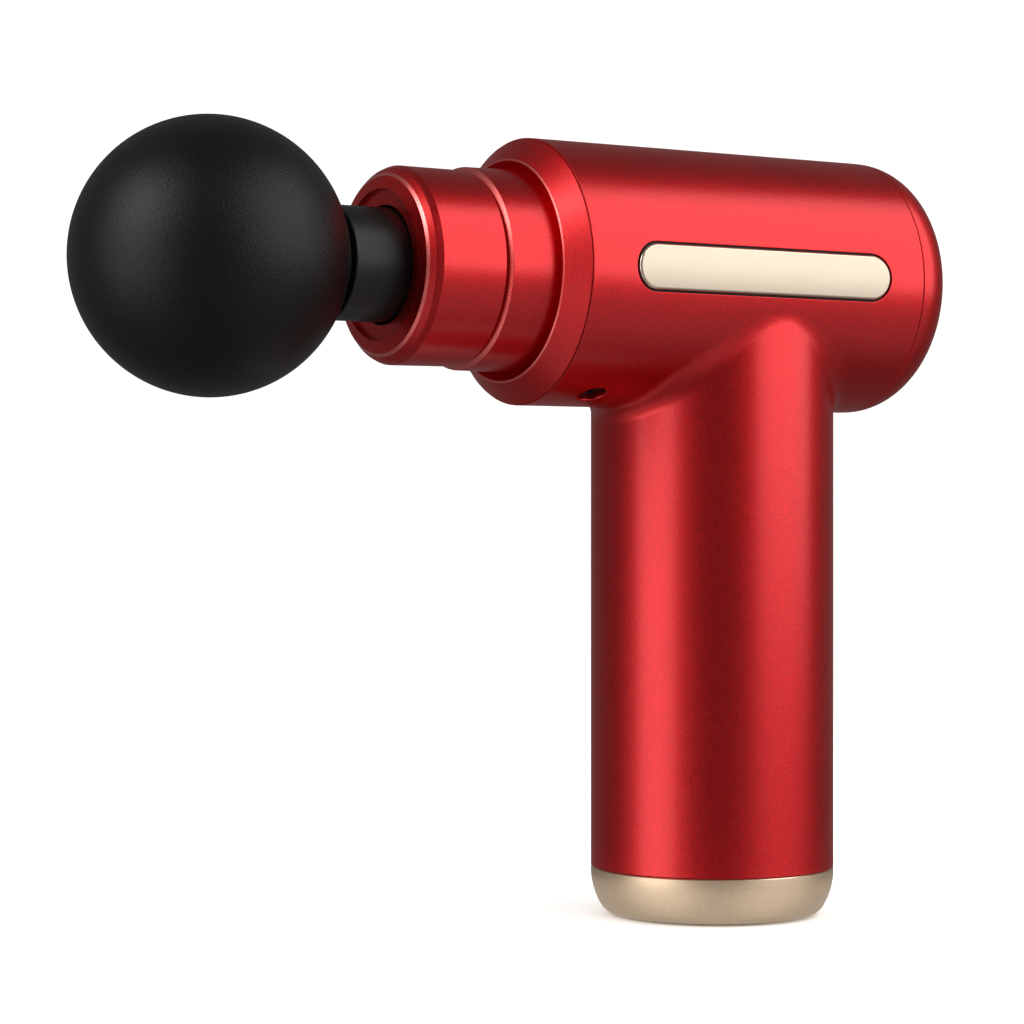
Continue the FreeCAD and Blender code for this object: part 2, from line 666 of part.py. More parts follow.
def battery_cell(side):
    """A cylindrical cell with its raised positive end."""
    y = CELL_Y * side
    body = tube_z(CELL_Z, CELL_Z + CELL_LENGTH - 0.8, CELL_R, 0, 0, y)
    body = body.makeFillet(0.6, [e for e in body.Edges if e.Length > 50])
    return body.fuse(tube_z(CELL_Z + CELL_LENGTH - 1.5, CELL_Z + CELL_LENGTH, 3.4, 0, 0, y)).removeSplitter()


def left_cell():
    return battery_cell(-1)


def right_cell():
    return battery_cell(1)


def cell_holder(z0, z1, floor):
    """A plastic cap with two round seats, cut away behind for the driver board."""
    body = tube_z(z0, z1, HANDLE_BORE_R - 0.15)
    for side in (-1, 1):
        body = body.cut(tube_z(floor[0], floor[1], CELL_R + 0.05, 0, 0, CELL_Y * side))
    return body.cut(block(BOARD_X - 0.2, 30, -30, 30, z0 - 1, z1 + 1))


def lower_holder():
    body = cell_holder(10.5, 20.0, (CELL_Z - FIT, 21.0))
    for side in (-1, 1):
        body = body.cut(tube_z(10, 14.5, 1.35, 0, BASE_SCREW_X * side))
    return body


def upper_holder():
    top = CELL_Z + CELL_LENGTH
    body = cell_holder(66.0, top + 1.1, (65.0, top + FIT))
    for side in (-1, 1):
        body = body.cut(tube_z(60, 90, 4.6, 0, 0, CELL_Y * side))
    return body.cut(block(-2.7, 2.7, -CELL_Y, CELL_Y, top, top + 2))


def cell_tabs():
    """The two strips from the cells' lower ends to the driver board."""
    z0, z1 = CELL_Z - 0.6, CELL_Z - 0.45
    solids = []
    for side in (-1, 1):
        y0, y1 = sorted((side * (CELL_Y - 2), side * (CELL_Y + 1)))
        low = block(-2.0, BOARD_X + 1.4, y0, y1, z0, z1)
        solids.append(fuse(low, block(BOARD_X + 1.25, BOARD_X + 1.4, y0, y1, z0, 17.0)))
    return Part.makeCompound(solids)


def cell_link():
    """The nickel strip that joins the two cells on top."""
    z = CELL_Z + CELL_LENGTH + FIT
    return block(-2.5, 2.5, -CELL_Y - 2.5, CELL_Y + 2.5, z, z + 0.15)


# ---- wires ----
WIRE_R = 0.5
HARNESS_X = 16.4
HARNESS_Z = 106.0


def wire_run(points):
    """An insulated wire: straight runs joined by tangent arcs, swept as one solid."""
    points = [Vector(*p) for p in points]
    edges = []
    here = points[0]
    for before, corner, after in zip(points, points[1:], points[2:]):
        trim = 0.45 * min(before.distanceToPoint(corner), corner.distanceToPoint(after))
        u, v = (before - corner).normalize(), (after - corner).normalize()
        bend_r = trim * math.tan(u.getAngle(v) / 2)
        start, end = corner + u * trim, corner + v * trim
        middle = corner + (u + v).normalize() * (math.hypot(trim, bend_r) - bend_r)
        edges.append(Part.LineSegment(here, start).toShape())
        edges.append(Part.Arc(start, middle, end).toShape())
        here = end
    edges.append(Part.LineSegment(here, points[-1]).toShape())
    circle = Part.Wire([Part.Circle(points[0], points[1] - points[0], WIRE_R).toShape()])
    return Part.Wire(edges).makePipeShell([circle], True, True)


def motor_leads():
    """Three wires from the windings, over the bell's rim and down to the driver board."""
    wires = []
    for degrees in (-27, -31, -35):
        c, s = math.cos(math.radians(degrees)), math.sin(math.radians(degrees))
        route = [(12.3 * c, 12.3 * s, 93.6), (16.9 * c, 16.9 * s, 93.6), (16.9 * c, 16.9 * s, 62.0)]
        wires.append(wire_run(route))
    return Part.makeCompound(wires)


def control_harness():
    """Three wires from the driver board, up past the motor and through to the control board."""
    wires = []
    for y in (-1.2, 0.0, 1.2):
        route = [(BOARD_X + 2.0, y, 60.5), (HARNESS_X, y, 68.0), (HARNESS_X, y, HARNESS_Z),
                 (BOARD_FRONT_X - 0.1, y, HARNESS_Z)]
        wires.append(wire_run(route))
    return Part.makeCompound(wires)


NODES = [
    main_housing, front_ring, rear_cap, light_pipes, left_plate, right_plate, plate_gaskets,
    base_cap, base_pad, base_screws, nose_bezel, nose_sleeve, wiper_seal, shaft_bush,
    drive_frame, frame_screws,
    motor_mount, motor_screws, motor_bearings, motor_stator, motor_windings, motor_bell,
    motor_magnets, motor_shaft, crank_disc, crank_pin, crank_roller, yoke, yoke_wear_strips,
    piston_shaft, yoke_pin, head_core, ball_cover, head_oring, power_button, tact_switch,
    control_board, board_lights, driver_board, driver_chips, usb_port, left_cell, right_cell,
    lower_holder, upper_holder, cell_link, cell_tabs, motor_leads, control_harness,
]

os.makedirs("parts", exist_ok=True)
for make in NODES:
    shape = make()
    print(make.__name__, shape.isValid(), len(shape.Solids), round(shape.Volume))
    shape.exportStep("parts/" + make.__name__ + ".step")
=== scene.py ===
import json
import math

import bpy
import numpy as np
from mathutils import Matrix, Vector
from mathutils.geometry import delaunay_2d_cdt

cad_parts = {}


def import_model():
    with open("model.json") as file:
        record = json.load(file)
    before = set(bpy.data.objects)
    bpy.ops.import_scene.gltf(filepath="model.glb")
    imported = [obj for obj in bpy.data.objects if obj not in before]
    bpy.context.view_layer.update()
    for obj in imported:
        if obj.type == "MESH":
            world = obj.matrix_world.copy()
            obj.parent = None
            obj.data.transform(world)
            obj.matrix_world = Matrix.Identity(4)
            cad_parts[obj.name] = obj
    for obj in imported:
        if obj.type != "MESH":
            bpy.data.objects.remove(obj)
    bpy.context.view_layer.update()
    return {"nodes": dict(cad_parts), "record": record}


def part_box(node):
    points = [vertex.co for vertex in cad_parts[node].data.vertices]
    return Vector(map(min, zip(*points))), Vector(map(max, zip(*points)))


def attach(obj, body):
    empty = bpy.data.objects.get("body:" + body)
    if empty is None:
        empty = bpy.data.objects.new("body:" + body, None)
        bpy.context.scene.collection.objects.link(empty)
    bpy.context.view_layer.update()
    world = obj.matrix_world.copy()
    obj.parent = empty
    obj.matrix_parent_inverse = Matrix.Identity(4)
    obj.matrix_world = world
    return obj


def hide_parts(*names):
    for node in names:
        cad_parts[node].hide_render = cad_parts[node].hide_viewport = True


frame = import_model()

# A massage gun. Lengths in the tables below are millimetres; meshes are written in metres.
MM = 0.001


def span(node):
    """A CAD node's lowest and highest corners, in millimetres."""
    low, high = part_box(node)
    return low / MM, high / MM


# ---- sizes that come from the frame ----
housing_low, housing_high = span("main_housing")
BARREL_R = (housing_high.y - housing_low.y) / 2
AXIS_Z = housing_high.z - BARREL_R
BARREL_X0, BARREL_X1 = housing_low.x, housing_high.x
HANDLE_Z0 = housing_low.z
base_low, base_high = span("base_cap")
HANDLE_R = (base_high.x - base_low.x) / 2
ring_low, ring_high = span("front_ring")
cap_low, cap_high = span("rear_cap")
bezel_low, bezel_high = span("nose_bezel")
BEZEL_R = (bezel_high.z - bezel_low.z) / 2
sleeve_low, sleeve_high = span("nose_sleeve")
piston_low, piston_high = span("piston_shaft")
PISTON_R = (piston_high.y - piston_low.y) / 2
ball_low, ball_high = span("ball_cover")
BALL_R = (ball_high.z - ball_low.z) / 2
BALL_X = ball_low.x + BALL_R
plate_low, plate_high = span("left_plate")
PLATE_FACE_Y = span("right_plate")[1].y
pad_low, pad_high = span("base_pad")
PAD_R = (pad_high.x - pad_low.x) / 2
button_low, button_high = span("power_button")
port_low, port_high = span("usb_port")
screw_low, screw_high = span("frame_screws")
core_low, core_high = span("head_core")

# ---- sizes that the frame doesn't hold ----
BARREL_BORE_R = 20.3
HANDLE_BORE_R = 19.05
BLEND_R = 3.0             # the handle's rounding into the barrel, in front and behind
SIDE_BLEND_R = 8.0        # the same rounding at the sides, where it's softest
INNER_BLEND_R = 0.6       # the same rounding inside the shell
EDGE_R = 0.11             # broken edges at seams
SEAM = 0.07               # gaps between the barrel and its end parts
FIT = 0.03                # clearance of parts that are pressed or pushed together
AXIS_R = 0.02             # the hair-thin bore that a solid turned part keeps on its axis

SLEEVE_R = 17.0
LIP_R = 18.5              # the front cone's polished lip, with a lighter colour that paints its highlight
COUNTERSINK_X = -42.3     # where the countersink behind the lip ends
SPIGOT_BORE_R = 15.0      # the rear collar's bore that holds the front collar
SPIGOT_SEAT_X = -46.9     # the step at the end of that bore
COLLAR_BORE_R = 14.03
RECESS_R = 12.4           # the dished face of the front collar
SEAL_BORE_R = 11.5
SHAFT_CLEAR = 0.4
SOCKET_R = 6.0            # the shaft's bore for the head's plug
SOCKET_DEPTH = 17.0

SLOT_GAP = 0.35           # round a side plate
SLOT_FLOOR_Y = 21.0
SLOT_RIM = 0.16           # rounding of the slot's edge
SLOT_LENGTH = plate_high.x - plate_low.x + 2 * SLOT_GAP
SLOT_HEIGHT = plate_high.z - plate_low.z + 2 * SLOT_GAP
SLOT_X = (plate_high.x + plate_low.x) / 2
PLATE_BEVEL = 0.32
PLATE_CROWN_R = BARREL_R + 6.0

SCREW_HOLE_R = 2.4
SCREW_HOLE_LEAD = 0.3     # softening of the screw hole's edge
SCREW_X = (screw_low.x + screw_high.x) / 2
SCREW_ANGLE = math.radians(22)
PORT_CLEAR = 0.25
PORT_RIM = 0.3

# The rear cap's profile: three (x, radius) points on each of its two arcs.
DOME = ((37.6, 17.3), (39.8, 8.8), (40.6, 0.0))
SHOULDER = ((29.62, 22.47), (34.5, 21.05), (37.6, 17.3))
CAP_MOUTH_R = 18.9
BUTTON_HOLE_R = 6.7
BUTTON_HOLE_RIM = 0.25
LENS_R = 0.8
LENS_CIRCLE_R = 10.6
LENS_STEP = math.radians(17)

# ---- how finely the meshes are drawn ----
RING_COUNT = 192          # points round the shell's ends and round turned parts
SIDE_COUNT = 50           # points along the shell's straight borders
HOLE_COUNT = 48           # points round a screw hole
RIM_STEPS = 4             # steps round a rounded rim
WELD_GRID = 2000          # corners in the same cell of a 1/2000 mm grid are welded
WELD_SHIFT = 0.3137       # moves the grid's lines off round numbers


# ---- mesh building ----
def in_scene(name, data):
    """A new object in the scene."""
    obj = bpy.data.objects.new(name, data)
    bpy.context.scene.collection.objects.link(obj)
    return obj


class Skin:
    """Collects faces whose corners carry their own normals, then writes one welded mesh.
    look is the material slot that the next faces take."""

    def __init__(self):
        self.faces = []
        self.normals = []
        self.looks = []
        self.look = 0

    def face(self, corners, normals):
        self.faces.append(corners)
        self.normals.append(normals)
        self.looks.append(self.look)

    def strip(self, rows, row_normals, closed=True):
        """Quads between neighbouring rows of points. Each row is a loop where closed is true."""
        for a, b, na, nb in zip(rows, rows[1:], row_normals, row_normals[1:]):
            count = len(a)
            for i in range(count if closed else count - 1):
                j = (i + 1) % count
                self.face((a[i], a[j], b[j], b[i]), (na[i], na[j], nb[j], nb[i]))

    def write(self, name):
        """Welds the corners, turns each face to its normals, and makes the object."""
        corners = np.array([p for f in self.faces for p in f], float)
        normals = np.array([n for f in self.normals for n in f], float)
        keys = np.floor(corners * WELD_GRID + WELD_SHIFT).astype(np.int64)
        _, first, index = np.unique(keys, axis=0, return_index=True, return_inverse=True)
        index = index.ravel()
        faces, kept, looks, at = [], [], [], 0
        for f, look in zip(self.faces, self.looks):
            ids, rows = [], []
            for k in range(at, at + len(f)):
                if index[k] not in ids:
                    ids.append(int(index[k]))
                    rows.append(k)
            at += len(f)
            if len(ids) < 3:
                continue
            a, b, c, d = (corners[rows[i]] for i in (0, 1, len(rows) // 2, -1))
            if np.cross(c - a, d - b) @ normals[rows].sum(0) < 0:
                ids.reverse()
                rows.reverse()
            faces.append(ids)
            looks.append(look)
            kept += rows
        mesh = bpy.data.meshes.new(name)
        mesh.from_pydata((corners[first] * MM).tolist(), [], faces)
        mesh.update()
        mesh.polygons.foreach_set("use_smooth", [True] * len(mesh.polygons))
        mesh.polygons.foreach_set("material_index", looks)
        loops = normals[kept]
        loops /= np.linalg.norm(loops, axis=1)[:, None]
        mesh.normals_split_custom_set(loops.tolist())
        return in_scene(name, mesh)


def unit(v):
    """A vector's direction, one long."""
    v = np.asarray(v, float)
    return v / np.linalg.norm(v)


def full_turn(count):
    """count angles, evenly round a full turn."""
    return [2 * math.pi * i / count for i in range(count)]


def rounded(outline, steps):
    """Points and outward normals of a closed outline of (along, radius, rounding) corners.
    The outline runs so that the solid is on its right. A fourth value of 1 marks the facet that
    starts at a corner as a polished cut with a painted highlight. Also gives each point's mark."""
    points, normals, marks = [], [], []
    count = len(outline)
    for i, (a, r, size, *mark) in enumerate(outline):
        here = np.array((a, r), float)
        before = np.array(outline[i - 1][:2], float)
        after = np.array(outline[(i + 1) % count][:2], float)
        u, v = unit(here - before), unit(after - here)
        nu, nv = np.array((-u[1], u[0])), np.array((-v[1], v[0]))
        turn = math.acos(max(-1.0, min(1.0, float(u @ v))))
        if size <= 0 or turn < 1e-4:
            points.append(here)
            normals.append(unit(nu + nv))
            marks.append(sum(mark))
            continue
        reach = size * math.tan(turn / 2)
        limit = 0.49 * min(np.linalg.norm(here - before), np.linalg.norm(after - here))
        if reach > limit:
            size, reach = size * limit / reach, limit
        side = 1.0 if (u[0] * v[1] - u[1] * v[0]) > 0 else -1.0
        start = here - u * reach
        centre = start + nu * size * side
        for k in range(steps + 1):
            w = turn * k / steps
            n = nu * math.cos(w) + u * math.sin(w) * (-side)
            points.append(centre - n * size * side)
            normals.append(n)
            marks.append(sum(mark) if k == steps else 0)
    return points, normals, marks


def turned(name, outline, about="x", steps=6, around=RING_COUNT, centre=(0.0, 0.0)):
    """A closed solid of revolution: about the barrel's axis, or about the handle's.
    centre moves it off the barrel's axis."""
    points, normals, marks = rounded(outline, steps)
    skin = Skin()
    cs = [(math.cos(w), math.sin(w)) for w in full_turn(around)]
    rows, row_normals = [], []
    for (a, r), (na, nr) in zip(points, normals):
        if about == "x":
            rows.append([(a, r * s + centre[0], AXIS_Z + centre[1] + r * c) for c, s in cs])
            row_normals.append([(na, nr * s, nr * c) for c, s in cs])
        else:
            rows.append([(r * c, r * s, a) for c, s in cs])
            row_normals.append([(nr * c, nr * s, na) for c, s in cs])
    rows.append(rows[0])
    row_normals.append(row_normals[0])
    for i, mark in enumerate(marks):
        skin.look = mark
        skin.strip(rows[i:i + 2], row_normals[i:i + 2])
    return skin.write(name)


def barrel_rings(profile):
    """Rings about the barrel's axis and their normals, from (x, radius, normal x, normal r)."""
    turns = full_turn(RING_COUNT)
    rows = [[(x, r * math.sin(t), AXIS_Z + r * math.cos(t)) for t in turns] for x, r, _, _ in profile]
    normals = [[(nx, nr * math.sin(t), nr * math.cos(t)) for t in turns] for _, _, nx, nr in profile]
    return rows, normals


def circle_through(first, middle, last):
    """Centre and radius of the circle through three (along, radius) points."""
    (ax, ay), (bx, by), (cx, cy) = first, middle, last
    a, b, c = ax**2 + ay**2, bx**2 + by**2, cx**2 + cy**2
    d = 2 * (ax * (by - cy) + bx * (cy - ay) + cx * (ay - by))
    x = (a * (by - cy) + b * (cy - ay) + c * (ay - by)) / d
    y = (a * (cx - bx) + b * (ax - cx) + c * (bx - ax)) / d
    return x, y, math.hypot(ax - x, ay - y)


def circle_arc(first, middle, last, count):
    """Points of the circular arc through three (along, radius) points."""
    (ax, ay), (bx, by), (cx, cy) = first, middle, last
    ux, uy, radius = circle_through(first, middle, last)
    start = math.atan2(ay - uy, ax - ux)
    end = math.atan2(cy - uy, cx - ux)
    mid = math.atan2(by - uy, bx - ux)
    while end < start:
        end += 2 * math.pi
    while mid < start:
        mid += 2 * math.pi
    if mid > end:
        end -= 2 * math.pi
    turns = [start + (end - start) * i / count for i in range(count + 1)]
    return [(ux + radius * math.cos(w), uy + radius * math.sin(w)) for w in turns]


# ---- the T-shaped shell ----
def inside_loop(points, loop):
    """Which of the 2-D points lie inside a closed loop."""
    x, y = points[:, 0], points[:, 1]
    inside = np.zeros(len(points), bool)
    for (ax, ay), (bx, by) in zip(loop, np.roll(loop, -1, axis=0)):
        if ay == by:
            continue
        inside ^= ((ay > y) != (by > y)) & (x < (bx - ax) * (y - ay) / (by - ay) + ax)
    return inside


def loop_distance(points, loop):
    """Distance of each 2-D point from a closed loop."""
    best = np.full(len(points), 1e9)
    for a, b in zip(loop, np.roll(loop, -1, axis=0)):
        d = b - a
        t = np.clip(((points - a) @ d) / max(float(d @ d), 1e-12), 0, 1)
        best = np.minimum(best, np.linalg.norm(points - (a + t[:, None] * d), axis=1))
    return best


def sheet_faces(border, holes, pitch):
    """Triangles over a flat area inside border and outside holes: (points, triangles)."""
    low, high = border.min(0), border.max(0)
    rows = []
    for i, y in enumerate(np.arange(low[1] + pitch / 2, high[1], pitch * 0.87)):
        xs = np.arange(low[0] + pitch * (0.5 + 0.5 * (i % 2)), high[0], pitch)
        rows.append(np.column_stack([xs, np.full(len(xs), y)]))
    grid = np.vstack(rows)
    grid = grid[inside_loop(grid, border) & (loop_distance(grid, border) > pitch * 0.55)]
    for hole in holes:
        grid = grid[~inside_loop(grid, hole) & (loop_distance(grid, hole) > pitch * 0.45)]
    points, edges = [], []
    for loop in [border, *holes]:
        base = len(points)
        points += [Vector(p) for p in loop]
        edges += [(base + i, base + (i + 1) % len(loop)) for i in range(len(loop))]
    points += [Vector(p) for p in grid]
    exact = np.vstack([border, *holes])
    out, _, faces, sources, _, _ = delaunay_2d_cdt(points, edges, [], 0, 1e-7)
    out = np.array([tuple(p) for p in out])
    for i, source in enumerate(sources):
        if source and source[0] < len(exact):
            out[i] = exact[source[0]]
    centres = np.array([out[list(f)].mean(0) for f in faces])
    keep = inside_loop(centres, border)
    for hole in holes:
        keep &= ~inside_loop(centres, hole)
    return out, [f for f, k in zip(faces, keep) if k]


def add_sheet(skin, border, holes, pitch, place):
    """Maps a flat area onto a curved surface; place gives a point and its normal."""
    points, faces = sheet_faces(border, holes, pitch)
    points = [place(*p) for p in points]
    for f in faces:
        skin.face([points[i][0] for i in f], [points[i][1] for i in f])


def pill(length, height, count=24):
    """Points round a pill outline centred on the origin, anticlockwise."""
    r = height / 2
    reach = length / 2 - r
    out = []
    for side, start in ((1, -math.pi / 2), (-1, math.pi / 2)):
        for k in range(count + 1):
            w = start + math.pi * k / count
            out.append((side * reach + r * math.cos(w), r * math.sin(w)))
    straight = max(2, int(2 * reach / 1.3))
    first, last = out[:count + 1], out[count + 1:]
    top = [(reach - 2 * reach * k / straight, r) for k in range(1, straight)]
    bottom = [(-reach + 2 * reach * k / straight, -r) for k in range(1, straight)]
    return first + top + last + bottom


def tee(skin, barrel_r, handle_r, blends, x0, x1, z0, openings, sign, steps=8, count=256, pitch=1.5):
    """Adds the surfaces of a barrel and a handle, with a rolling-ball blend between them.
    blends is the ball's radius in front and behind, and at the sides. x0 and x1 are the barrel's
    ends and z0 is the handle's. openings are outlines left open in each surface, as (x, distance
    round) and (distance round, z). sign is 1 for the outside and -1 for the bore."""
    on_barrel, on_handle, rows, row_normals = [], [], [], []
    for w in full_turn(count):
        blend = blends[0] + (blends[1] - blends[0]) * math.sin(w)**2
        big, small = barrel_r + blend, handle_r + blend
        across = small * math.sin(w)
        c = np.array((small * math.cos(w), across, AXIS_Z - math.sqrt(big**2 - across**2)))
        to_barrel = unit((0.0, c[1], c[2] - AXIS_Z))
        to_handle = unit((c[0], c[1], 0.0))
        on_barrel.append((c[0], barrel_r * math.atan2(to_barrel[1], -to_barrel[2])))
        on_handle.append((handle_r * math.atan2(to_handle[1], to_handle[0]), c[2]))
        angle = math.acos(max(-1.0, min(1.0, float(to_barrel @ to_handle))))
        line, line_normals = [], []
        for k in range(steps + 1):
            t = k / steps
            n = (math.sin((1 - t) * angle) * to_barrel + math.sin(t * angle) * to_handle) / math.sin(angle)
            line.append(tuple(c - n * blend))
            line_normals.append(tuple(n * sign))
        rows.append(line)
        row_normals.append(line_normals)
    skin.strip(rows + rows[:1], row_normals + row_normals[:1], closed=False)

    def barrel_place(x, s):
        n = np.array((0.0, math.sin(s / barrel_r), -math.cos(s / barrel_r)))
        return tuple(np.array((x, 0, AXIS_Z)) + n * barrel_r), tuple(n * sign)

    def handle_place(s, z):
        n = np.array((math.cos(s / handle_r), math.sin(s / handle_r), 0.0))
        return tuple(np.array((0, 0, z)) + n * handle_r), tuple(n * sign)

    def unrolled(half):
        return [half * (-1 + 2 * k / RING_COUNT) for k in range(RING_COUNT + 1)]

    half = math.pi * barrel_r
    ring = unrolled(half)
    cross = np.linspace(x0, x1, SIDE_COUNT)
    border = [(x0, s) for s in ring[::-1]] + [(x, -half) for x in cross[1:-1]]
    border += [(x1, s) for s in ring] + [(x, half) for x in cross[1:-1][::-1]]
    holes = [np.array(outline) for outline in (on_barrel, *openings["barrel"])]
    add_sheet(skin, np.array(border), holes, pitch, barrel_place)

    half = math.pi * handle_r
    middle = count // 2
    top_z = on_handle[middle][1]
    rise = np.linspace(z0, top_z, SIDE_COUNT)[1:-1]
    upper = sorted(on_handle[i] for i in range(count) if i != middle)
    upper = [(-half, top_z)] + upper + [(half, top_z)]
    border = [(s, z0) for s in unrolled(half)] + [(half, z) for z in rise]
    border += upper[::-1] + [(-half, z) for z in rise[::-1]]
    holes = [np.array(outline) for outline in openings["handle"]]
    add_sheet(skin, np.array(border), holes, pitch, handle_place)


def slot_edge(grow):
    """The pill slot's outline in the XZ plane, grown outwards, as (x, z off the axis)."""
    return [(SLOT_X + x, z) for x, z in pill(SLOT_LENGTH + 2 * grow, SLOT_HEIGHT + 2 * grow)]


def rim_steps(rim):
    """Down a rounded rim: the angle turned, the outline's growth and the drop at each step."""
    for k in range(RIM_STEPS + 1):
        w = math.pi / 2 * k / RIM_STEPS
        yield w, rim * (1 - math.sin(w)), rim * (1 - math.cos(w))


def slot_wall(skin, side):
    """The rounded rim, wall and floor of a side pocket."""
    step_in = 0.5
    rows, normals = [], []
    for w, grow, drop in rim_steps(SLOT_RIM):
        row, row_n = [], []
        for (x, z), (ix, iz) in zip(slot_edge(grow), slot_edge(grow - step_in)):
            y = math.sqrt(BARREL_R**2 - z**2)
            out = np.array((0.0, side * y, z)) / BARREL_R
            inward = unit((ix - x, 0.0, iz - z))
            row.append((x, side * (y - drop), AXIS_Z + z))
            row_n.append(tuple(unit(out * math.cos(w) + inward * math.sin(w))))
        rows.append(row)
        normals.append(row_n)
    rows.append([(x, side * SLOT_FLOOR_Y, z) for x, _, z in rows[-1]])
    normals.append(normals[-1])
    skin.strip(rows, normals)
    skin.face(rows[-1], [(0, side, 0)] * len(rows[-1]))


def round_hole_edge(barrel_r, hole_r, side):
    """A screw hole's edge on a barrel surface, as (x, distance round the barrel)."""
    out = []
    for w in full_turn(HOLE_COUNT):
        turned_by = side * SCREW_ANGLE + math.asin(hole_r * math.sin(w) / barrel_r)
        out.append((SCREW_X + hole_r * math.cos(w), barrel_r * turned_by))
    return out


def hole_wall(skin, side):
    """A screw hole's softened rim and its wall through the shell."""
    lead = SCREW_HOLE_LEAD
    # Radius from the barrel's axis, radius of the hole, and how far the surface has turned in.
    levels = [(BARREL_R, SCREW_HOLE_R + lead, 0.0), (BARREL_R - 0.1, SCREW_HOLE_R + lead * 0.35, 0.6)]
    levels += [(BARREL_R - lead, SCREW_HOLE_R, 1.0), (BARREL_BORE_R, SCREW_HOLE_R, 1.0)]
    along = np.array((1.0, 0.0, 0.0))
    tangent = np.array((0.0, math.cos(side * SCREW_ANGLE), math.sin(side * SCREW_ANGLE)))
    rows, normals = [], []
    for radius, hole_r, tilt in levels:
        row, row_n = [], []
        for w, (x, s) in zip(full_turn(HOLE_COUNT), round_hole_edge(radius, hole_r, side)):
            n = np.array((0.0, math.sin(s / radius), -math.cos(s / radius)))
            inward = -(along * math.cos(w) + tangent * math.sin(w))
            row.append((x, n[1] * radius, AXIS_Z + n[2] * radius))
            row_n.append(tuple(unit(n * (1 - tilt) + inward * tilt)))
        rows.append(row)
        normals.append(row_n)
    skin.strip(rows, normals)


def port_edge(handle_r, grow):
    """The charging port's edge on a handle surface, as (distance round, z)."""
    length = port_high.y - port_low.y + 2 * (PORT_CLEAR + grow)
    height = port_high.z - port_low.z + 2 * (PORT_CLEAR + grow)
    middle = (port_high.z + port_low.z) / 2
    return [(handle_r * math.asin(y / handle_r), middle + z) for y, z in pill(length, height)]


def port_wall(skin):
    """The rounded rim and wall of the charging port's opening."""
    step_in = 0.4
    levels = [(HANDLE_R, *step) for step in rim_steps(PORT_RIM)]
    levels.append((HANDLE_BORE_R, math.pi / 2, 0.0, 0.0))
    rows, normals = [], []
    for radius, w, grow, drop in levels:
        row, row_n = [], []
        for (s, z), (si, zi) in zip(port_edge(radius, grow), port_edge(radius, grow - step_in)):
            n = np.array((math.cos(s / radius), math.sin(s / radius), 0.0))
            y, yi = radius * math.sin(s / radius), radius * math.sin(si / radius)
            inward = unit((0.0, yi - y, zi - z))
            row.append((radius * n[0] - drop, y, z))
            row_n.append(tuple(unit(n * math.cos(w) + inward * math.sin(w))))
        rows.append(row)
        normals.append(row_n)
    skin.strip(rows, normals)


def end_ring(skin, about, at, outer, inner, direction):
    """A shell end: a rounded outer edge and the flat ring that joins it to the bore."""
    angles = [math.pi * (-1 + 2 * k / RING_COUNT) for k in range(RING_COUNT)]
    profile = [(at - direction * grow, outer - drop, direction * math.sin(w), math.cos(w))
               for w, grow, drop in rim_steps(EDGE_R)]
    profile.append((at, inner, direction, 0))
    rows, normals = [], []
    for a, r, na, nr in profile:
        if about == "x":
            rows.append([(a, r * math.sin(t), AXIS_Z - r * math.cos(t)) for t in angles])
            normals.append([(na, nr * math.sin(t), -nr * math.cos(t)) for t in angles])
        else:
            rows.append([(r * math.cos(t), r * math.sin(t), a) for t in angles])
            normals.append([(nr * math.cos(t), nr * math.sin(t), na) for t in angles])
    skin.strip(rows, normals)


def body_shell():
    """The T-shaped shell: its outside, its bore, its ends and the walls of its openings."""
    openings = {"barrel": [], "handle": [port_edge(HANDLE_R, PORT_RIM)]}
    for side in (-1, 1):
        outline = []
        for x, z in slot_edge(SLOT_RIM):
            y = math.sqrt(BARREL_R**2 - z**2)
            outline.append((x, BARREL_R * math.atan2(side * y, -z)))
        openings["barrel"].append(outline)
        openings["barrel"].append(round_hole_edge(BARREL_R, SCREW_HOLE_R + SCREW_HOLE_LEAD, side))
    skin = Skin()
    tee(skin, BARREL_R, HANDLE_R, (BLEND_R, SIDE_BLEND_R), BARREL_X0 + EDGE_R, BARREL_X1 - EDGE_R,
        HANDLE_Z0 + EDGE_R, openings, 1)
    openings = {"barrel": [round_hole_edge(BARREL_BORE_R, SCREW_HOLE_R, side) for side in (-1, 1)],
                "handle": [port_edge(HANDLE_BORE_R, 0.0)]}
    tee(skin, BARREL_BORE_R, HANDLE_BORE_R, (INNER_BLEND_R, INNER_BLEND_R), BARREL_X0, BARREL_X1,
        HANDLE_Z0, openings, -1, steps=2, pitch=2.5)
    for side in (-1, 1):
        slot_wall(skin, side)
        hole_wall(skin, side)
    port_wall(skin)
    end_ring(skin, "x", BARREL_X0, BARREL_R, BARREL_BORE_R, -1)
    end_ring(skin, "x", BARREL_X1, BARREL_R, BARREL_BORE_R, 1)
    end_ring(skin, "z", HANDLE_Z0, HANDLE_R, HANDLE_BORE_R, -1)
    return skin.write("body_shell")


# ---- turned pieces: the outlines are (along, radius, rounding), with a 1 before a polished facet whose highlight is painted ----
def ring_shell():
    """The cone at the barrel's front, with a polished lip whose highlight is painted in a lighter colour, and
    a countersink behind it.
    """
    lip_x, front, rear = ring_low.x, BARREL_X0 - SEAM, ring_high.x
    spigot_r, bore_r = BARREL_BORE_R - FIT, SLEEVE_R + FIT
    return turned("front_cone", [
        (lip_x, LIP_R - 0.08, 0.06), (lip_x, LIP_R, 0.03, 1), (lip_x + 0.14, LIP_R + 0.32, 0.1),
        (front, BARREL_R, EDGE_R), (front, spigot_r, 0.05), (rear, spigot_r, 0.1),
        (rear, bore_r, 0.1), (COUNTERSINK_X, bore_r, 0.05)])


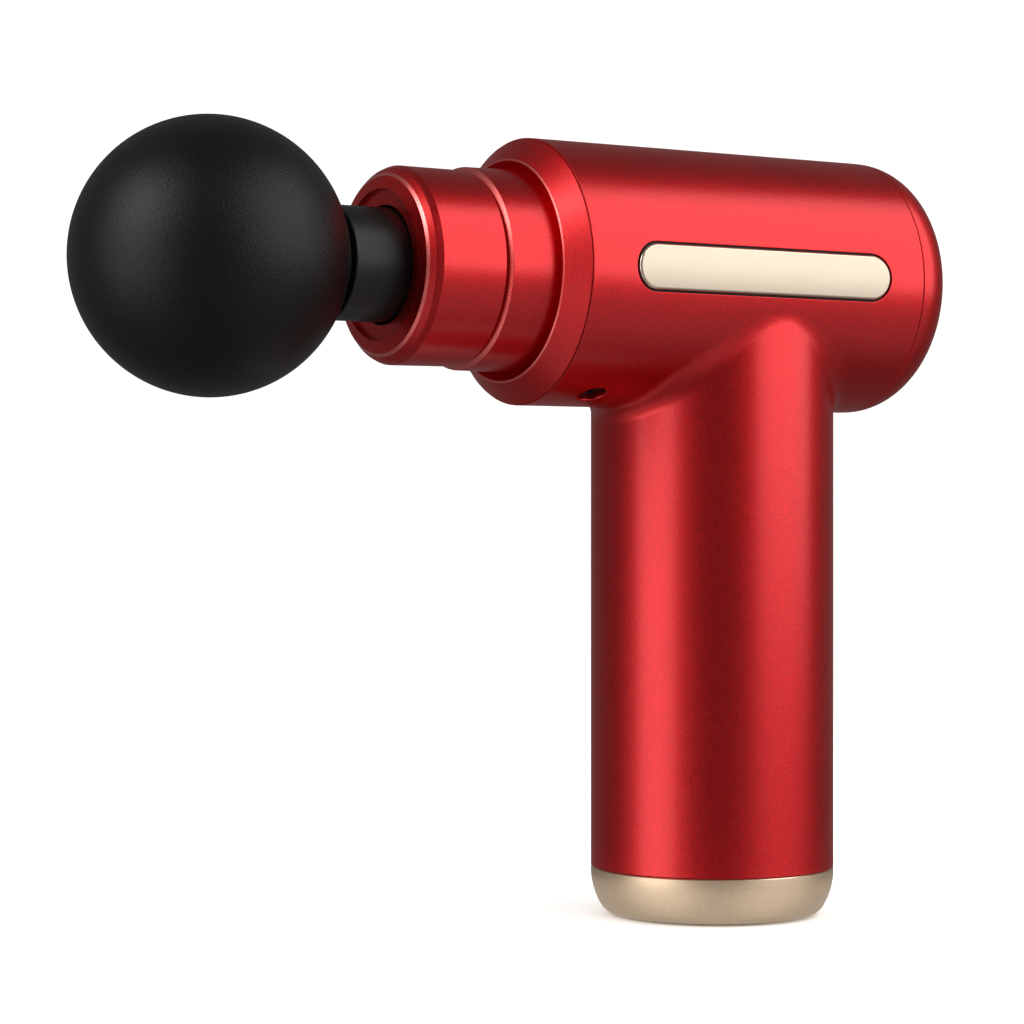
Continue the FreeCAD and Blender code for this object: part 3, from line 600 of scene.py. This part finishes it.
def bezel_shell():
    """The front nose collar: dished face, polished bevel with a painted highlight, rounded shoulder and
    barrel.
    """
    x, rear, end = bezel_low.x, sleeve_low.x - 0.35, bezel_high.x
    spigot_r, shaft_r = SPIGOT_BORE_R - FIT, PISTON_R + SHAFT_CLEAR
    seal_x0, seal_x1 = x + 2.6, x + 6.1
    return turned("nose_front_collar", [
        (x + 0.8, shaft_r, 0.1), (x + 0.8, RECESS_R, 0.1), (x, RECESS_R, 0.12), (x + 0.5, 14.55, 0.04, 1),
        (x + 0.85, 15.08, 0.05), (x + 1.75, 15.95, 1.2), (x + 2.75, BEZEL_R - 0.02, 0.5),
        (rear, BEZEL_R - 0.1, 0.12), (rear, spigot_r, 0.05), (end, spigot_r, 0.05),
        (end, COLLAR_BORE_R, 0.05), (seal_x1, COLLAR_BORE_R, 0.05), (seal_x1, SEAL_BORE_R, 0.05),
        (seal_x0, SEAL_BORE_R, 0.05), (seal_x0, shaft_r, 0.05)])


def sleeve_shell():
    """The rear nose collar, with its polished front bevel, whose highlight is painted in a lighter colour,
    and its flange inside the barrel.
    """
    x, rear = sleeve_low.x, sleeve_high.x
    flange_x, flange_r = rear - 2.0, 19.9
    return turned("nose_rear_collar", [
        (x, SPIGOT_BORE_R, 0.05), (x, 15.6, 0.05, 1), (x + 0.6, SLEEVE_R - 0.1, 0.08),
        (COUNTERSINK_X, SLEEVE_R, 0.0), (flange_x, SLEEVE_R, 0.05), (flange_x, flange_r, 0.05),
        (rear, flange_r, 0.05), (rear, COLLAR_BORE_R, 0.05), (SPIGOT_SEAT_X, COLLAR_BORE_R, 0.05),
        (SPIGOT_SEAT_X, SPIGOT_BORE_R, 0.05)])


def piston_sleeve():
    """The black sliding sleeve, open in front where the head's plug enters."""
    x, rear, bore_r = piston_low.x, piston_high.x, 5.0
    web_x0, web_x1 = x + SOCKET_DEPTH, x + SOCKET_DEPTH + 1
    return turned("shaft_sleeve", [
        (x, SOCKET_R + 0.5, 0.3), (x, PISTON_R, 0.35), (rear, PISTON_R, 0.4), (rear, bore_r, 0.1),
        (web_x1, bore_r, 0.1), (web_x1, AXIS_R, 0.0), (web_x0, AXIS_R, 0.0), (web_x0, SOCKET_R, 0.2),
        (x + 0.5, SOCKET_R, 0.1)])


def base_cup():
    """The champagne base, rounded in two blending curves."""
    bottom, top, start = base_low.z, HANDLE_Z0 - 0.12, 7.9
    upper_r, turn = 12.0, math.radians(31.7)
    join_z, join_r = start - upper_r * math.sin(turn), HANDLE_R - upper_r * (1 - math.cos(turn))
    lower_r = (join_z - bottom) / (1 - math.sin(turn))
    centre_z, centre_r = bottom + lower_r, join_r - lower_r * math.cos(turn)
    seat_z, seat_r = pad_high.z + 0.05, PAD_R + FIT
    outline = [(bottom, seat_r, 0.1)]
    lower_steps, upper_steps = 16, 24
    for k in range(lower_steps + 1):
        w = math.pi / 2 + (turn - math.pi / 2) * k / lower_steps
        outline.append((centre_z - lower_r * math.sin(w), centre_r + lower_r * math.cos(w), 0.0))
    for k in range(1, upper_steps + 1):
        w = turn * (1 - k / upper_steps)
        outline.append((start - upper_r * math.sin(w), HANDLE_R - upper_r * (1 - math.cos(w)), 0.0))
    spigot_r, cup_r = HANDLE_BORE_R - FIT, 17.0
    # The top edge is a polished facet whose highlight is painted in a lighter colour.
    outline += [(top - 0.22, HANDLE_R, 0.03, 1), (top, HANDLE_R - 0.2, 0.03), (top, spigot_r, 0.05)]
    outline += [(base_high.z, spigot_r, 0.2), (base_high.z, cup_r, 0.2), (4.0, cup_r, 0.5)]
    outline += [(3.0, AXIS_R, 0.0), (seat_z, AXIS_R, 0.0), (seat_z, seat_r, 0.05)]
    return turned("base_cup", outline, about="z")


def foot_pad():
    """The rubber foot with two shallow rings moulded in its underside."""
    bottom, groove_z = pad_low.z, pad_low.z + 0.35
    outline = [(pad_high.z, AXIS_R, 0.0), (bottom, AXIS_R, 0.0)]
    for r in (6.0, 10.0):
        outline += [(bottom, r - 0.5, 0.1), (groove_z, r - 0.3, 0.1)]
        outline += [(groove_z, r + 0.3, 0.1), (bottom, r + 0.5, 0.1)]
    outline += [(bottom, PAD_R - 0.35, 0.3), (bottom + 0.4, PAD_R, 0.2), (pad_high.z, PAD_R, 0.1)]
    return turned("foot_pad", outline, about="z")


def ball():
    """The rubber ball, hollow for its core, with a short moulded lip round the neck."""
    neck_r, core_r = 8.03, (core_high.z - core_low.z) / 2 + 0.05
    start, inner = math.asin((neck_r + 0.25) / BALL_R), math.asin(neck_r / core_r)
    outer_steps, inner_steps = 96, 48
    profile = []
    for k in range(outer_steps + 1):
        w = math.pi - (math.pi - start) * k / outer_steps
        profile.append((BALL_X + BALL_R * math.cos(w), BALL_R * math.sin(w), math.cos(w), math.sin(w)))
    lip_x = BALL_X + BALL_R * math.cos(start)
    profile += [(lip_x, neck_r + 0.1, 0.8, -0.6), (lip_x - 0.3, neck_r, 0.0, -1.0)]
    for k in range(inner_steps + 1):
        w = inner + (math.pi - inner) * k / inner_steps
        profile.append((BALL_X + core_r * math.cos(w), core_r * math.sin(w), -math.cos(w), -math.sin(w)))
    skin = Skin()
    skin.strip(*barrel_rings(profile))
    return skin.write("rubber_ball")


def button():
    """The power button: a dished face with a fine raised ring, a flange and a plunger."""
    x0, x1 = button_low.x, button_high.x
    face_r, flange_r, plunger_r = 6.4, 7.6, 1.6
    flange_x0, flange_x1 = 35.2, 36.6
    outline = [(x0, AXIS_R, 0.0), (x0, plunger_r, 0.2), (flange_x0, plunger_r, 0.1)]
    outline += [(flange_x0, flange_r, 0.2), (flange_x1, flange_r, 0.2), (flange_x1, face_r, 0.1)]
    outline += [(x1, face_r, 0.5), (x1, face_r - 1.2, 0.3), (x1 - 0.35, face_r - 1.6, 0.4)]
    outline += [(x1 - 0.5, 2.6, 8.0), (x1 - 0.5, AXIS_R, 0.0)]
    return turned("round_button", outline, steps=8)


def cap_dome_x(r):
    """Where the rear dome's surface is at a radius, and its normal there."""
    centre_x, centre_r, size = circle_through(*DOME)
    x = centre_x + math.sqrt(size**2 - (r - centre_r)**2)
    return x, (x - centre_x) / size, (r - centre_r) / size


def lens_places():
    """The light pipes' centres off the barrel's axis, as (y, z)."""
    turns = [(i - 1.5) * LENS_STEP for i in range(4)]
    return [(LENS_CIRCLE_R * math.sin(w), LENS_CIRCLE_R * math.cos(w)) for w in turns]


def rear_dome():
    """The domed rear cap, with openings for the button and the four light pipes."""
    spigot_r, front, rear = BARREL_BORE_R - FIT, cap_low.x, BARREL_X1 + SEAM
    shoulder_r, steps = SHOULDER[0][1], 24
    profile = [(front, CAP_MOUTH_R, -1, 0), (front, spigot_r, -1, 0), (front, spigot_r, 0, 1),
               (rear, spigot_r, 0, 1), (rear, spigot_r, -1, 0), (rear, shoulder_r - EDGE_R, -1, 0),
               (rear + EDGE_R * 0.3, shoulder_r - EDGE_R * 0.3, -0.7, 0.7)]
    shoulder = circle_arc(*SHOULDER[::-1], steps)[::-1]
    centre_x, centre_r, size = circle_through(shoulder[0], shoulder[steps // 2], shoulder[steps])
    for i, (x, r) in enumerate(shoulder):
        if i == 0:
            x += EDGE_R
        nx, nr = (x - centre_x) / size, (r - centre_r) / size
        if i == steps:
            _, dome_nx, dome_nr = cap_dome_x(r)
            nx, nr = nx + dome_nx, nr + dome_nr
        profile.append((x, r, nx, nr))
    skin = Skin()
    skin.strip(*barrel_rings(profile))
    edge_r = shoulder[-1][1]

    def dome_place(y, z):
        r = math.hypot(y, z)
        x, nx, nr = cap_dome_x(r)
        if r > edge_r - 1e-6:
            x, _, nx, nr = profile[-1]
        scale = 1 / max(r, 1e-9)
        return (x, y, AXIS_Z + z), (nx, nr * y * scale, nr * z * scale)

    def loop(radius, turns, y=0.0, z=0.0):
        return np.array([(y + radius * math.sin(t), z + radius * math.cos(t)) for t in turns])

    turns = full_turn(RING_COUNT)
    holes = [loop(BUTTON_HOLE_R + BUTTON_HOLE_RIM, turns[::2])]
    holes += [loop(LENS_R + FIT, full_turn(24), y, z) for y, z in lens_places()]
    add_sheet(skin, loop(edge_r, turns), holes, 0.9, dome_place)
    floor_x, floor_r = DOME[2][0] - 3.4, 18.0

    def bore(hole, wall_r, rim):
        """The softened rim and the wall of an opening. Gives the wall's inner edge, as (y, z)."""
        centre = hole.mean(0)
        rows, normals = [[], [], []], [[], [], []]
        for y, z in hole:
            place, n = dome_place(y, z)
            out = unit((y - centre[0], z - centre[1]))
            ny, nz = centre + out * wall_r
            points = (place, (place[0] - rim, ny, AXIS_Z + nz), (floor_x, ny, AXIS_Z + nz))
            inward = (0, -out[0], -out[1])
            for row, row_n, point, normal in zip(rows, normals, points, (n, inward, inward)):
                row.append(point)
                row_n.append(normal)
        skin.strip(rows, normals)
        return np.array([(y, z - AXIS_Z) for _, y, z in rows[2]])

    edges = [bore(holes[0], BUTTON_HOLE_R, BUTTON_HOLE_RIM)]
    edges += [bore(hole, LENS_R + FIT, 0.02) for hole in holes[1:]]
    add_sheet(skin, loop(floor_r, turns), edges, 2.0, lambda y, z: ((floor_x, y, AXIS_Z + z), (-1, 0, 0)))
    skin.strip(*barrel_rings([(floor_x, floor_r, 0, -1), (floor_x - 1, floor_r + 0.4, 0, -1),
                              (front, CAP_MOUTH_R, 0, -1)]))
    return skin.write("rear_dome")


def side_plate(side, name):
    """The raised champagne plate: crowned face, polished bevel with a painted highlight, and its wall in the
    slot.
    """
    length, height = plate_high.x - plate_low.x, plate_high.z - plate_low.z
    skin = Skin()

    def face_point(x, z):
        """A point of the crowned face, and its normal."""
        level = math.sqrt(PLATE_CROWN_R**2 - z**2)
        y = PLATE_FACE_Y - (PLATE_CROWN_R - level)
        return np.array((SLOT_X + x, side * y, AXIS_Z + z)), unit((0, side * level, z))

    # Distance in from the plate's edge, depth below the face, and how far the surface has turned.
    levels = [(PLATE_BEVEL + 0.08, 0.0, 0.0), (PLATE_BEVEL, 0.02, 0.25), (0.05, PLATE_BEVEL * 0.8, 0.62),
              (0.0, PLATE_BEVEL * 0.8 + 0.07, 1.0)]
    step_in = 0.5
    rows, normals = [], []
    for inset, drop, tilt in levels:
        outline = pill(length - 2 * inset, height - 2 * inset)
        shrunk = pill(length - 2 * inset - step_in, height - 2 * inset - step_in)
        w = tilt * math.pi / 2
        row, row_n = [], []
        for (x, z), (ix, iz) in zip(outline, shrunk):
            out = unit((x - ix, 0, z - iz))
            point, n = face_point(x, z)
            row.append(tuple(point - (0, side * drop, 0)))
            row_n.append(tuple(n * math.cos(w) + out * math.sin(w)))
        rows.append(row)
        normals.append(row_n)
    rows.append([(x, side * (SLOT_FLOOR_Y + FIT), z) for x, _, z in rows[-1]])
    normals.append(normals[-1])
    # The bevel's two bands take the lighter material that paints its highlight.
    for i in range(len(rows) - 1):
        skin.look = int(i in (1, 2))
        skin.strip(rows[i:i + 2], normals[i:i + 2])
    skin.look = 0
    skin.face(rows[-1], [(0, -side, 0)] * len(rows[-1]))
    inset = levels[0][0]
    border = np.array(pill(length - 2 * inset, height - 2 * inset))
    add_sheet(skin, border, [], 0.9, lambda x, z: tuple(tuple(v) for v in face_point(x, z)))
    return skin.write(name)


def lens_rods():
    """The four light pipes, each with a slightly crowned end that stands just proud of the cap."""
    foot_x, rod_r, axis_r = 26.0, LENS_R - 0.02, 0.01
    for i, (y, z) in enumerate(lens_places()):
        tip, _, _ = cap_dome_x(math.hypot(y, z))
        tip += 0.12
        outline = [(foot_x, axis_r, 0.0), (foot_x, rod_r, 0.0), (tip, rod_r, 0.25), (tip + 0.05, axis_r, 0.0)]
        yield turned(f"light_pipe_{i + 1}", outline, around=32, centre=(y, z))


# ---- materials ----
class Nodes:
    """A small helper for building a material's node tree."""

    def __init__(self, name):
        self.material = bpy.data.materials.new(name)
        self.material.use_nodes = True
        self.tree = self.material.node_tree
        self.shader = self.tree.nodes["Principled BSDF"]
        self.place = self.add("ShaderNodeTexCoord").outputs["Object"]

    def add(self, kind, sockets=(), **settings):
        """A new node, with its settings and the values of its sockets."""
        node = self.tree.nodes.new(kind)
        for key, value in settings.items():
            setattr(node, key, value)
        for socket, value in dict(sockets).items():
            node.inputs[socket].default_value = value
        return node

    def link(self, output, target):
        self.tree.links.new(output, target)

    def noise(self, size, detail=2.0, rough=0.5, place=None):
        """Noise whose lumps are about size metres across."""
        node = self.add("ShaderNodeTexNoise", {"Scale": 1 / size, "Detail": detail, "Roughness": rough})
        self.link(place or self.place, node.inputs["Vector"])
        return node.outputs["Fac"]

    def ramp(self, value, low, high, first, last):
        """first to last as value goes from low to high."""
        limits = {"From Min": low, "From Max": high, "To Min": first, "To Max": last}
        node = self.add("ShaderNodeMapRange", limits)
        self.link(value, node.inputs["Value"])
        return node.outputs["Result"]

    def blend(self, factor, first, last):
        """A colour between two colours."""
        node = self.add("ShaderNodeMix", {"A": (*first, 1), "B": (*last, 1)}, data_type="RGBA")
        self.link(factor, node.inputs["Factor"])
        return node.outputs["Result"]

    def bump(self, height, depth, strength=1.0, below=None):
        """Bumps depth metres high, on top of the bumps below."""
        node = self.add("ShaderNodeBump", {"Strength": strength, "Distance": depth})
        self.link(height, node.inputs["Height"])
        if below is not None:
            self.link(below, node.inputs["Normal"])
        return node.outputs["Normal"]

    def colour(self, value, dark, light, low=0.3, high=0.7):
        """The base colour goes from dark to light as value goes from low to high."""
        mixed = self.blend(self.ramp(value, low, high, 0, 1), dark, light)
        self.link(mixed, self.shader.inputs["Base Color"])

    def roughness(self, value, middle, spread):
        rough = self.ramp(value, 0.3, 0.7, middle - spread, middle + spread)
        self.link(rough, self.shader.inputs["Roughness"])

    def relief(self, *bump):
        self.link(self.bump(*bump), self.shader.inputs["Normal"])

    def set(self, **values):
        """Values of the shader's own sockets, with _ for a space."""
        for key, value in values.items():
            self.shader.inputs[key.replace("_", " ")].default_value = value


def anodised(name, dark, light, roughness, grain, coat=0.0, edge=(1, 1, 1)):
    """Bead-blasted, dyed aluminium: tiny bright grains, with a slow shift of gloss.
    dark and light are the grains' colours; edge tints the metal where it is seen edge-on."""
    m = Nodes(name)
    speck = m.noise(0.00022, 3.0, 0.6)
    slow = m.noise(0.012, 2.0)
    m.colour(speck, dark, light, 0.32, 0.68)
    wear = m.add("ShaderNodeMath", operation="ADD")
    m.link(m.ramp(speck, 0.3, 0.7, roughness - 0.05, roughness + 0.05), wear.inputs[0])
    m.link(m.ramp(slow, 0.3, 0.7, -0.015, 0.015), wear.inputs[1])
    m.link(wear.outputs["Value"], m.shader.inputs["Roughness"])
    m.relief(speck, grain)
    m.set(Metallic=1.0, Coat_Weight=coat, Coat_Roughness=0.26, Specular_Tint=(*edge, 1))
    return m.material


def grained_rubber():
    """Matt black rubber with a fine leathery grain and a little paleness where it is handled."""
    m = Nodes("grained_rubber")
    cells = m.add("ShaderNodeTexVoronoi", {"Scale": 1 / 0.0003}, feature="SMOOTH_F1")
    m.link(m.place, cells.inputs["Vector"])
    fine = m.noise(0.0003, 3.0, 0.65)
    m.colour(m.noise(0.02, 3.0), (0.0005, 0.0005, 0.0006), (0.0010, 0.0010, 0.0011))
    m.roughness(fine, 0.39, 0.05)
    m.relief(fine, 0.00007, 1.0, m.bump(cells.outputs["Distance"], 0.00003, 0.8))
    m.set(Specular_IOR_Level=0.27)
    return m.material


def moulded(name, colour, roughness, size=0.0006, depth=0.00001, shine=0.5):
    """Moulded plastic or rubber with a fine spark-eroded texture."""
    m = Nodes(name)
    grain = m.noise(size, 3.0, 0.6)
    dark = tuple(c * 0.85 for c in colour)
    light = tuple(min(1.0, c * 1.15 + 0.0005) for c in colour)
    m.colour(m.noise(0.009, 2.0), dark, light)
    m.roughness(grain, roughness, 0.06)
    m.relief(grain, depth)
    m.set(Specular_IOR_Level=shine)
    return m.material


def machined(name, colour, roughness, stretch=(1.0, 1.0, 1.0)):
    """Turned or rolled metal with fine marks, which stretch makes directional."""
    m = Nodes(name)
    mapping = m.add("ShaderNodeMapping", {"Scale": stretch})
    m.link(m.place, mapping.inputs["Vector"])
    marks = m.noise(0.0003, 3.0, place=mapping.outputs["Vector"])
    m.colour(marks, tuple(c * 0.82 for c in colour), colour)
    m.roughness(marks, roughness, 0.07)
    m.relief(marks, 0.000006)
    m.set(Metallic=1.0)
    return m.material


def circuit_board():
    """Green solder mask over fine copper tracks."""
    m = Nodes("circuit_board")
    tracks = m.add("ShaderNodeTexBrick", {
        "Scale": 1 / 0.004, "Mortar Size": 0.03, "Mortar": (0.05, 0.24, 0.09, 1),
        "Color1": (0.012, 0.10, 0.035, 1), "Color2": (0.016, 0.13, 0.045, 1)})
    turn = m.add("ShaderNodeMapping", {"Rotation": (math.pi / 2, 0, math.pi / 2)})
    m.link(m.place, turn.inputs["Vector"])
    m.link(turn.outputs["Vector"], tracks.inputs["Vector"])
    m.link(tracks.outputs["Color"], m.shader.inputs["Base Color"])
    m.relief(tracks.outputs["Fac"], 0.00002)
    m.set(Roughness=0.35)
    return m.material


def clear_lens():
    """Lightly frosted clear plastic."""
    m = Nodes("clear_lens")
    frost = m.noise(0.0002, 2.0)
    m.roughness(frost, 0.3, 0.1)
    m.colour(frost, (0.75, 0.78, 0.80), (0.88, 0.90, 0.92))
    m.set(Coat_Weight=0.6, Coat_Roughness=0.08)
    return m.material


# Polished red cut facets: less rough than the body, with a lighter, pinker colour that paints their
# highlight.
RED_CUT_PAINTED_HIGHLIGHT = anodised("red_cut_painted_highlight", (0.85, 0.13, 0.12), (0.95, 0.20, 0.18), 0.3, 0.000002, 0.6)
# Polished champagne cut facets: less rough than the champagne parts, with a lighter colour that paints their
# highlight.
CHAMPAGNE_CUT_PAINTED_HIGHLIGHT = anodised("champagne_cut_painted_highlight", (0.82, 0.70, 0.53), (0.90, 0.79, 0.62), 0.2, 0.000002)

# The record's material slots and their looks.
SLOT_LOOKS = {
    "red_shell": anodised("red_anodised", (0.44, 0.003, 0.006), (0.77, 0.008, 0.011), 0.40, 0.000014,
                          0.7, (1, 0.4, 0.4)),
    "champagne_base": anodised("champagne_anodised", (0.68, 0.51, 0.345), (0.83, 0.635, 0.448), 0.40,
                               0.000006),
    "champagne_plate": anodised("pale_champagne", (0.555, 0.467, 0.367), (0.605, 0.512, 0.403), 0.42,
                                0.000004),
    "ball_rubber": grained_rubber(),
    "black_acetal": moulded("shaft_acetal", (0.002, 0.002, 0.002), 0.42, 0.0004, 0.00001, 0.35),
    "black_plastic": moulded("moulded_black", (0.006, 0.006, 0.0065), 0.55),
    "soft_rubber": moulded("soft_rubber", (0.006, 0.006, 0.006), 0.75, 0.0005, 0.00002),
    "frame_nylon": moulded("frame_nylon", (0.045, 0.046, 0.05), 0.6),
    "bush_acetal": moulded("bush_acetal", (0.72, 0.71, 0.67), 0.4),
    "steel": machined("machined_steel", (0.58, 0.58, 0.60), 0.3),
    "dark_steel": machined("black_oxide", (0.03, 0.03, 0.032), 0.5),
    "core_steel": machined("laminated_steel", (0.38, 0.39, 0.42), 0.4, (1, 1, 12)),
    "copper": machined("enamelled_copper", (0.62, 0.24, 0.10), 0.3, (1, 1, 10)),
    "alloy": machined("milled_alloy", (0.70, 0.71, 0.72), 0.35),
    "nickel": machined("nickel_strip", (0.72, 0.69, 0.62), 0.28),
    "circuit_board": circuit_board(),
    "chip_black": moulded("chip_resin", (0.02, 0.02, 0.02), 0.35),
    "light_lens": clear_lens(),
    "cell_wrap": moulded("cell_sleeve", (0.03, 0.12, 0.34), 0.3),
    "button_black": moulded("button_black", (0.016, 0.016, 0.017), 0.38, 0.0004, 0.000006),
    "wire_red": moulded("wire_red", (0.45, 0.02, 0.02), 0.45),
    "wire_black": moulded("wire_black", (0.02, 0.02, 0.02), 0.45),
}

node_slots = {s["node"]: s["material_slot"] for s in frame["record"]["subparts"]}
body_of = {node: body for body, nodes in frame["record"]["behaviour"]["bodies"].items() for node in nodes}

for node, obj in frame["nodes"].items():
    look = SLOT_LOOKS[node_slots[node]]
    if obj.data.materials:
        for slot in obj.material_slots:
            slot.link = "OBJECT"
            slot.material = look
    else:
        obj.data.materials.append(look)


def stands_for(obj, node, bright=None):
    """A visual piece takes its body, material and slot from the CAD node it replaces."""
    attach(obj, body_of[node])
    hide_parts(node)
    obj.data.materials.append(SLOT_LOOKS[node_slots[node]])
    # bright is the lighter material that paints the highlight on polished facets.
    if bright:
        obj.data.materials.append(bright)


stands_for(body_shell(), "main_housing")
stands_for(ring_shell(), "front_ring", RED_CUT_PAINTED_HIGHLIGHT)
stands_for(bezel_shell(), "nose_bezel", RED_CUT_PAINTED_HIGHLIGHT)
stands_for(sleeve_shell(), "nose_sleeve", RED_CUT_PAINTED_HIGHLIGHT)
stands_for(piston_sleeve(), "piston_shaft")
stands_for(ball(), "ball_cover")
stands_for(rear_dome(), "rear_cap")
stands_for(button(), "power_button")
stands_for(base_cup(), "base_cap", CHAMPAGNE_CUT_PAINTED_HIGHLIGHT)
stands_for(foot_pad(), "base_pad")
stands_for(side_plate(-1, "plate_left"), "left_plate", CHAMPAGNE_CUT_PAINTED_HIGHLIGHT)
stands_for(side_plate(1, "plate_right"), "right_plate", CHAMPAGNE_CUT_PAINTED_HIGHLIGHT)
for rod in lens_rods():
    stands_for(rod, "light_pipes")


# ---- stage, light and camera ----
EYE = Vector((-0.3132, -0.4255, 0.0704))
LOOK = Vector((0.538, 0.843, 0.0)).normalized()
RIGHT = Vector((LOOK.y, -LOOK.x, 0.0))
UP = Vector((0, 0, 1))
LENS_MM, SENSOR_MM = 105.47, 36.0

LIGHT_TARGET = Vector((-0.02, 0.0, 0.08))
LIGHT_DISTANCE = 0.8
# Name, azimuth and elevation in degrees, width and height in metres, power in watts.
SOFTBOXES = (
    ("left_softbox", -57, 18, 0.60, 1.1, 3.65),
    ("right_softbox", 70, 28, 1.0, 0.95, 6.0),
    ("key_light", -56, 33, 0.32, 0.32, 1.25),
)


def toward(azimuth, elevation):
    """A direction, azimuth degrees to the right of the camera as seen from the object."""
    a, e = math.radians(azimuth), math.radians(elevation)
    return (-LOOK * math.cos(a) + RIGHT * math.sin(a)) * math.cos(e) + UP * math.sin(e)


def aimed(name, data, location, direction):
    """An object in the scene that looks or shines along a direction."""
    obj = in_scene(name, data)
    obj.location = location
    obj.rotation_mode = "QUATERNION"
    obj.rotation_quaternion = direction.to_track_quat("-Z", "Y")
    return obj


def camera():
    """A level camera at the photograph's angle."""
    data = bpy.data.cameras.new("camera")
    data.lens, data.sensor_width = LENS_MM, SENSOR_MM
    data.clip_start, data.clip_end = 0.01, 50
    bpy.context.scene.camera = aimed("camera", data, EYE, LOOK)


def softbox(name, azimuth, elevation, width, height, power):
    """A rectangular light that shines on the object."""
    data = bpy.data.lights.new(name, "AREA")
    data.shape, data.size, data.size_y, data.energy = "RECTANGLE", width, height, power
    direction = toward(azimuth, elevation)
    aimed(name, data, LIGHT_TARGET + direction * LIGHT_DISTANCE, -direction)


def table_glow():
    """Light that the pale table sends back up to the base, without a patch in the picture."""
    data = bpy.data.lights.new("table_glow", "AREA")
    data.shape, data.size, data.energy = "DISK", 0.1, 0.008
    obj = in_scene("table_glow", data)
    obj.location = (0, 0, 0.0002)
    obj.rotation_euler = (math.pi, 0, 0)
    obj.visible_camera = False


def floor():
    """A wide pale floor that stays out of the object's reflections."""
    half = 60.0
    corners = [(-half, -half, 0), (half, -half, 0), (half, half, 0), (-half, half, 0)]
    mesh = bpy.data.meshes.new("floor")
    mesh.from_pydata(corners, [], [(0, 1, 2, 3)])
    m = Nodes("floor_white")
    m.set(Base_Color=(0.96, 0.957, 0.95, 1), Roughness=0.9, Specular_IOR_Level=0.0)
    mesh.materials.append(m.material)
    obj = in_scene("floor", mesh)
    obj.visible_glossy = False


# Soft light that comes up from a pale table, in reflections only: azimuth, elevation, and the
# angles off that direction where it starts and ends to fade, all in degrees, and its strength.
BOUNCES = ((-57, -22, 5, 46, 0.50), (60, -24, 5, 46, 0.35), (0, -66, 10, 56, 0.05))
DIM_STUDIO = 0.16         # the studio's strength in reflections
WHITE_STUDIO = 1.15       # and to the camera and diffuse light


def world():
    """White to the camera and for diffuse light; a dim studio with a pale table in reflections."""
    w = bpy.data.worlds.new("studio")
    bpy.context.scene.world = w
    w.use_nodes = True
    w.cycles.sampling_method = "NONE"
    nodes, links = w.node_tree.nodes, w.node_tree.links
    nodes.clear()
    out = nodes.new("ShaderNodeOutputWorld")
    back = nodes.new("ShaderNodeBackground")
    links.new(back.outputs[0], out.inputs[0])
    path = nodes.new("ShaderNodeLightPath")
    where = nodes.new("ShaderNodeTexCoord")
    total = None
    for azimuth, elevation, inner, outer, strength in BOUNCES:
        near = nodes.new("ShaderNodeVectorMath")
        near.operation = "DOT_PRODUCT"
        near.inputs[1].default_value = toward(azimuth, elevation)
        links.new(where.outputs["Generated"], near.inputs[0])
        glow = nodes.new("ShaderNodeMapRange")
        glow.interpolation_type = "SMOOTHSTEP"
        glow.inputs["From Min"].default_value = math.cos(math.radians(outer))
        glow.inputs["From Max"].default_value = math.cos(math.radians(inner))
        glow.inputs["To Max"].default_value = strength
        links.new(near.outputs["Value"], glow.inputs["Value"])
        summed = nodes.new("ShaderNodeMath")
        summed.inputs[1].default_value = DIM_STUDIO
        if total is not None:
            links.new(total, summed.inputs[1])
        links.new(glow.outputs["Result"], summed.inputs[0])
        total = summed.outputs["Value"]
    mix = nodes.new("ShaderNodeMix")
    mix.inputs["A"].default_value = WHITE_STUDIO
    links.new(path.outputs["Is Glossy Ray"], mix.inputs["Factor"])
    links.new(total, mix.inputs["B"])
    links.new(mix.outputs["Result"], back.inputs["Strength"])
    back.inputs["Color"].default_value = (1, 0.995, 0.985, 1)


camera()
for light in SOFTBOXES:
    softbox(*light)
table_glow()
floor()
world()
bpy.context.scene.view_settings.view_transform = "Standard"
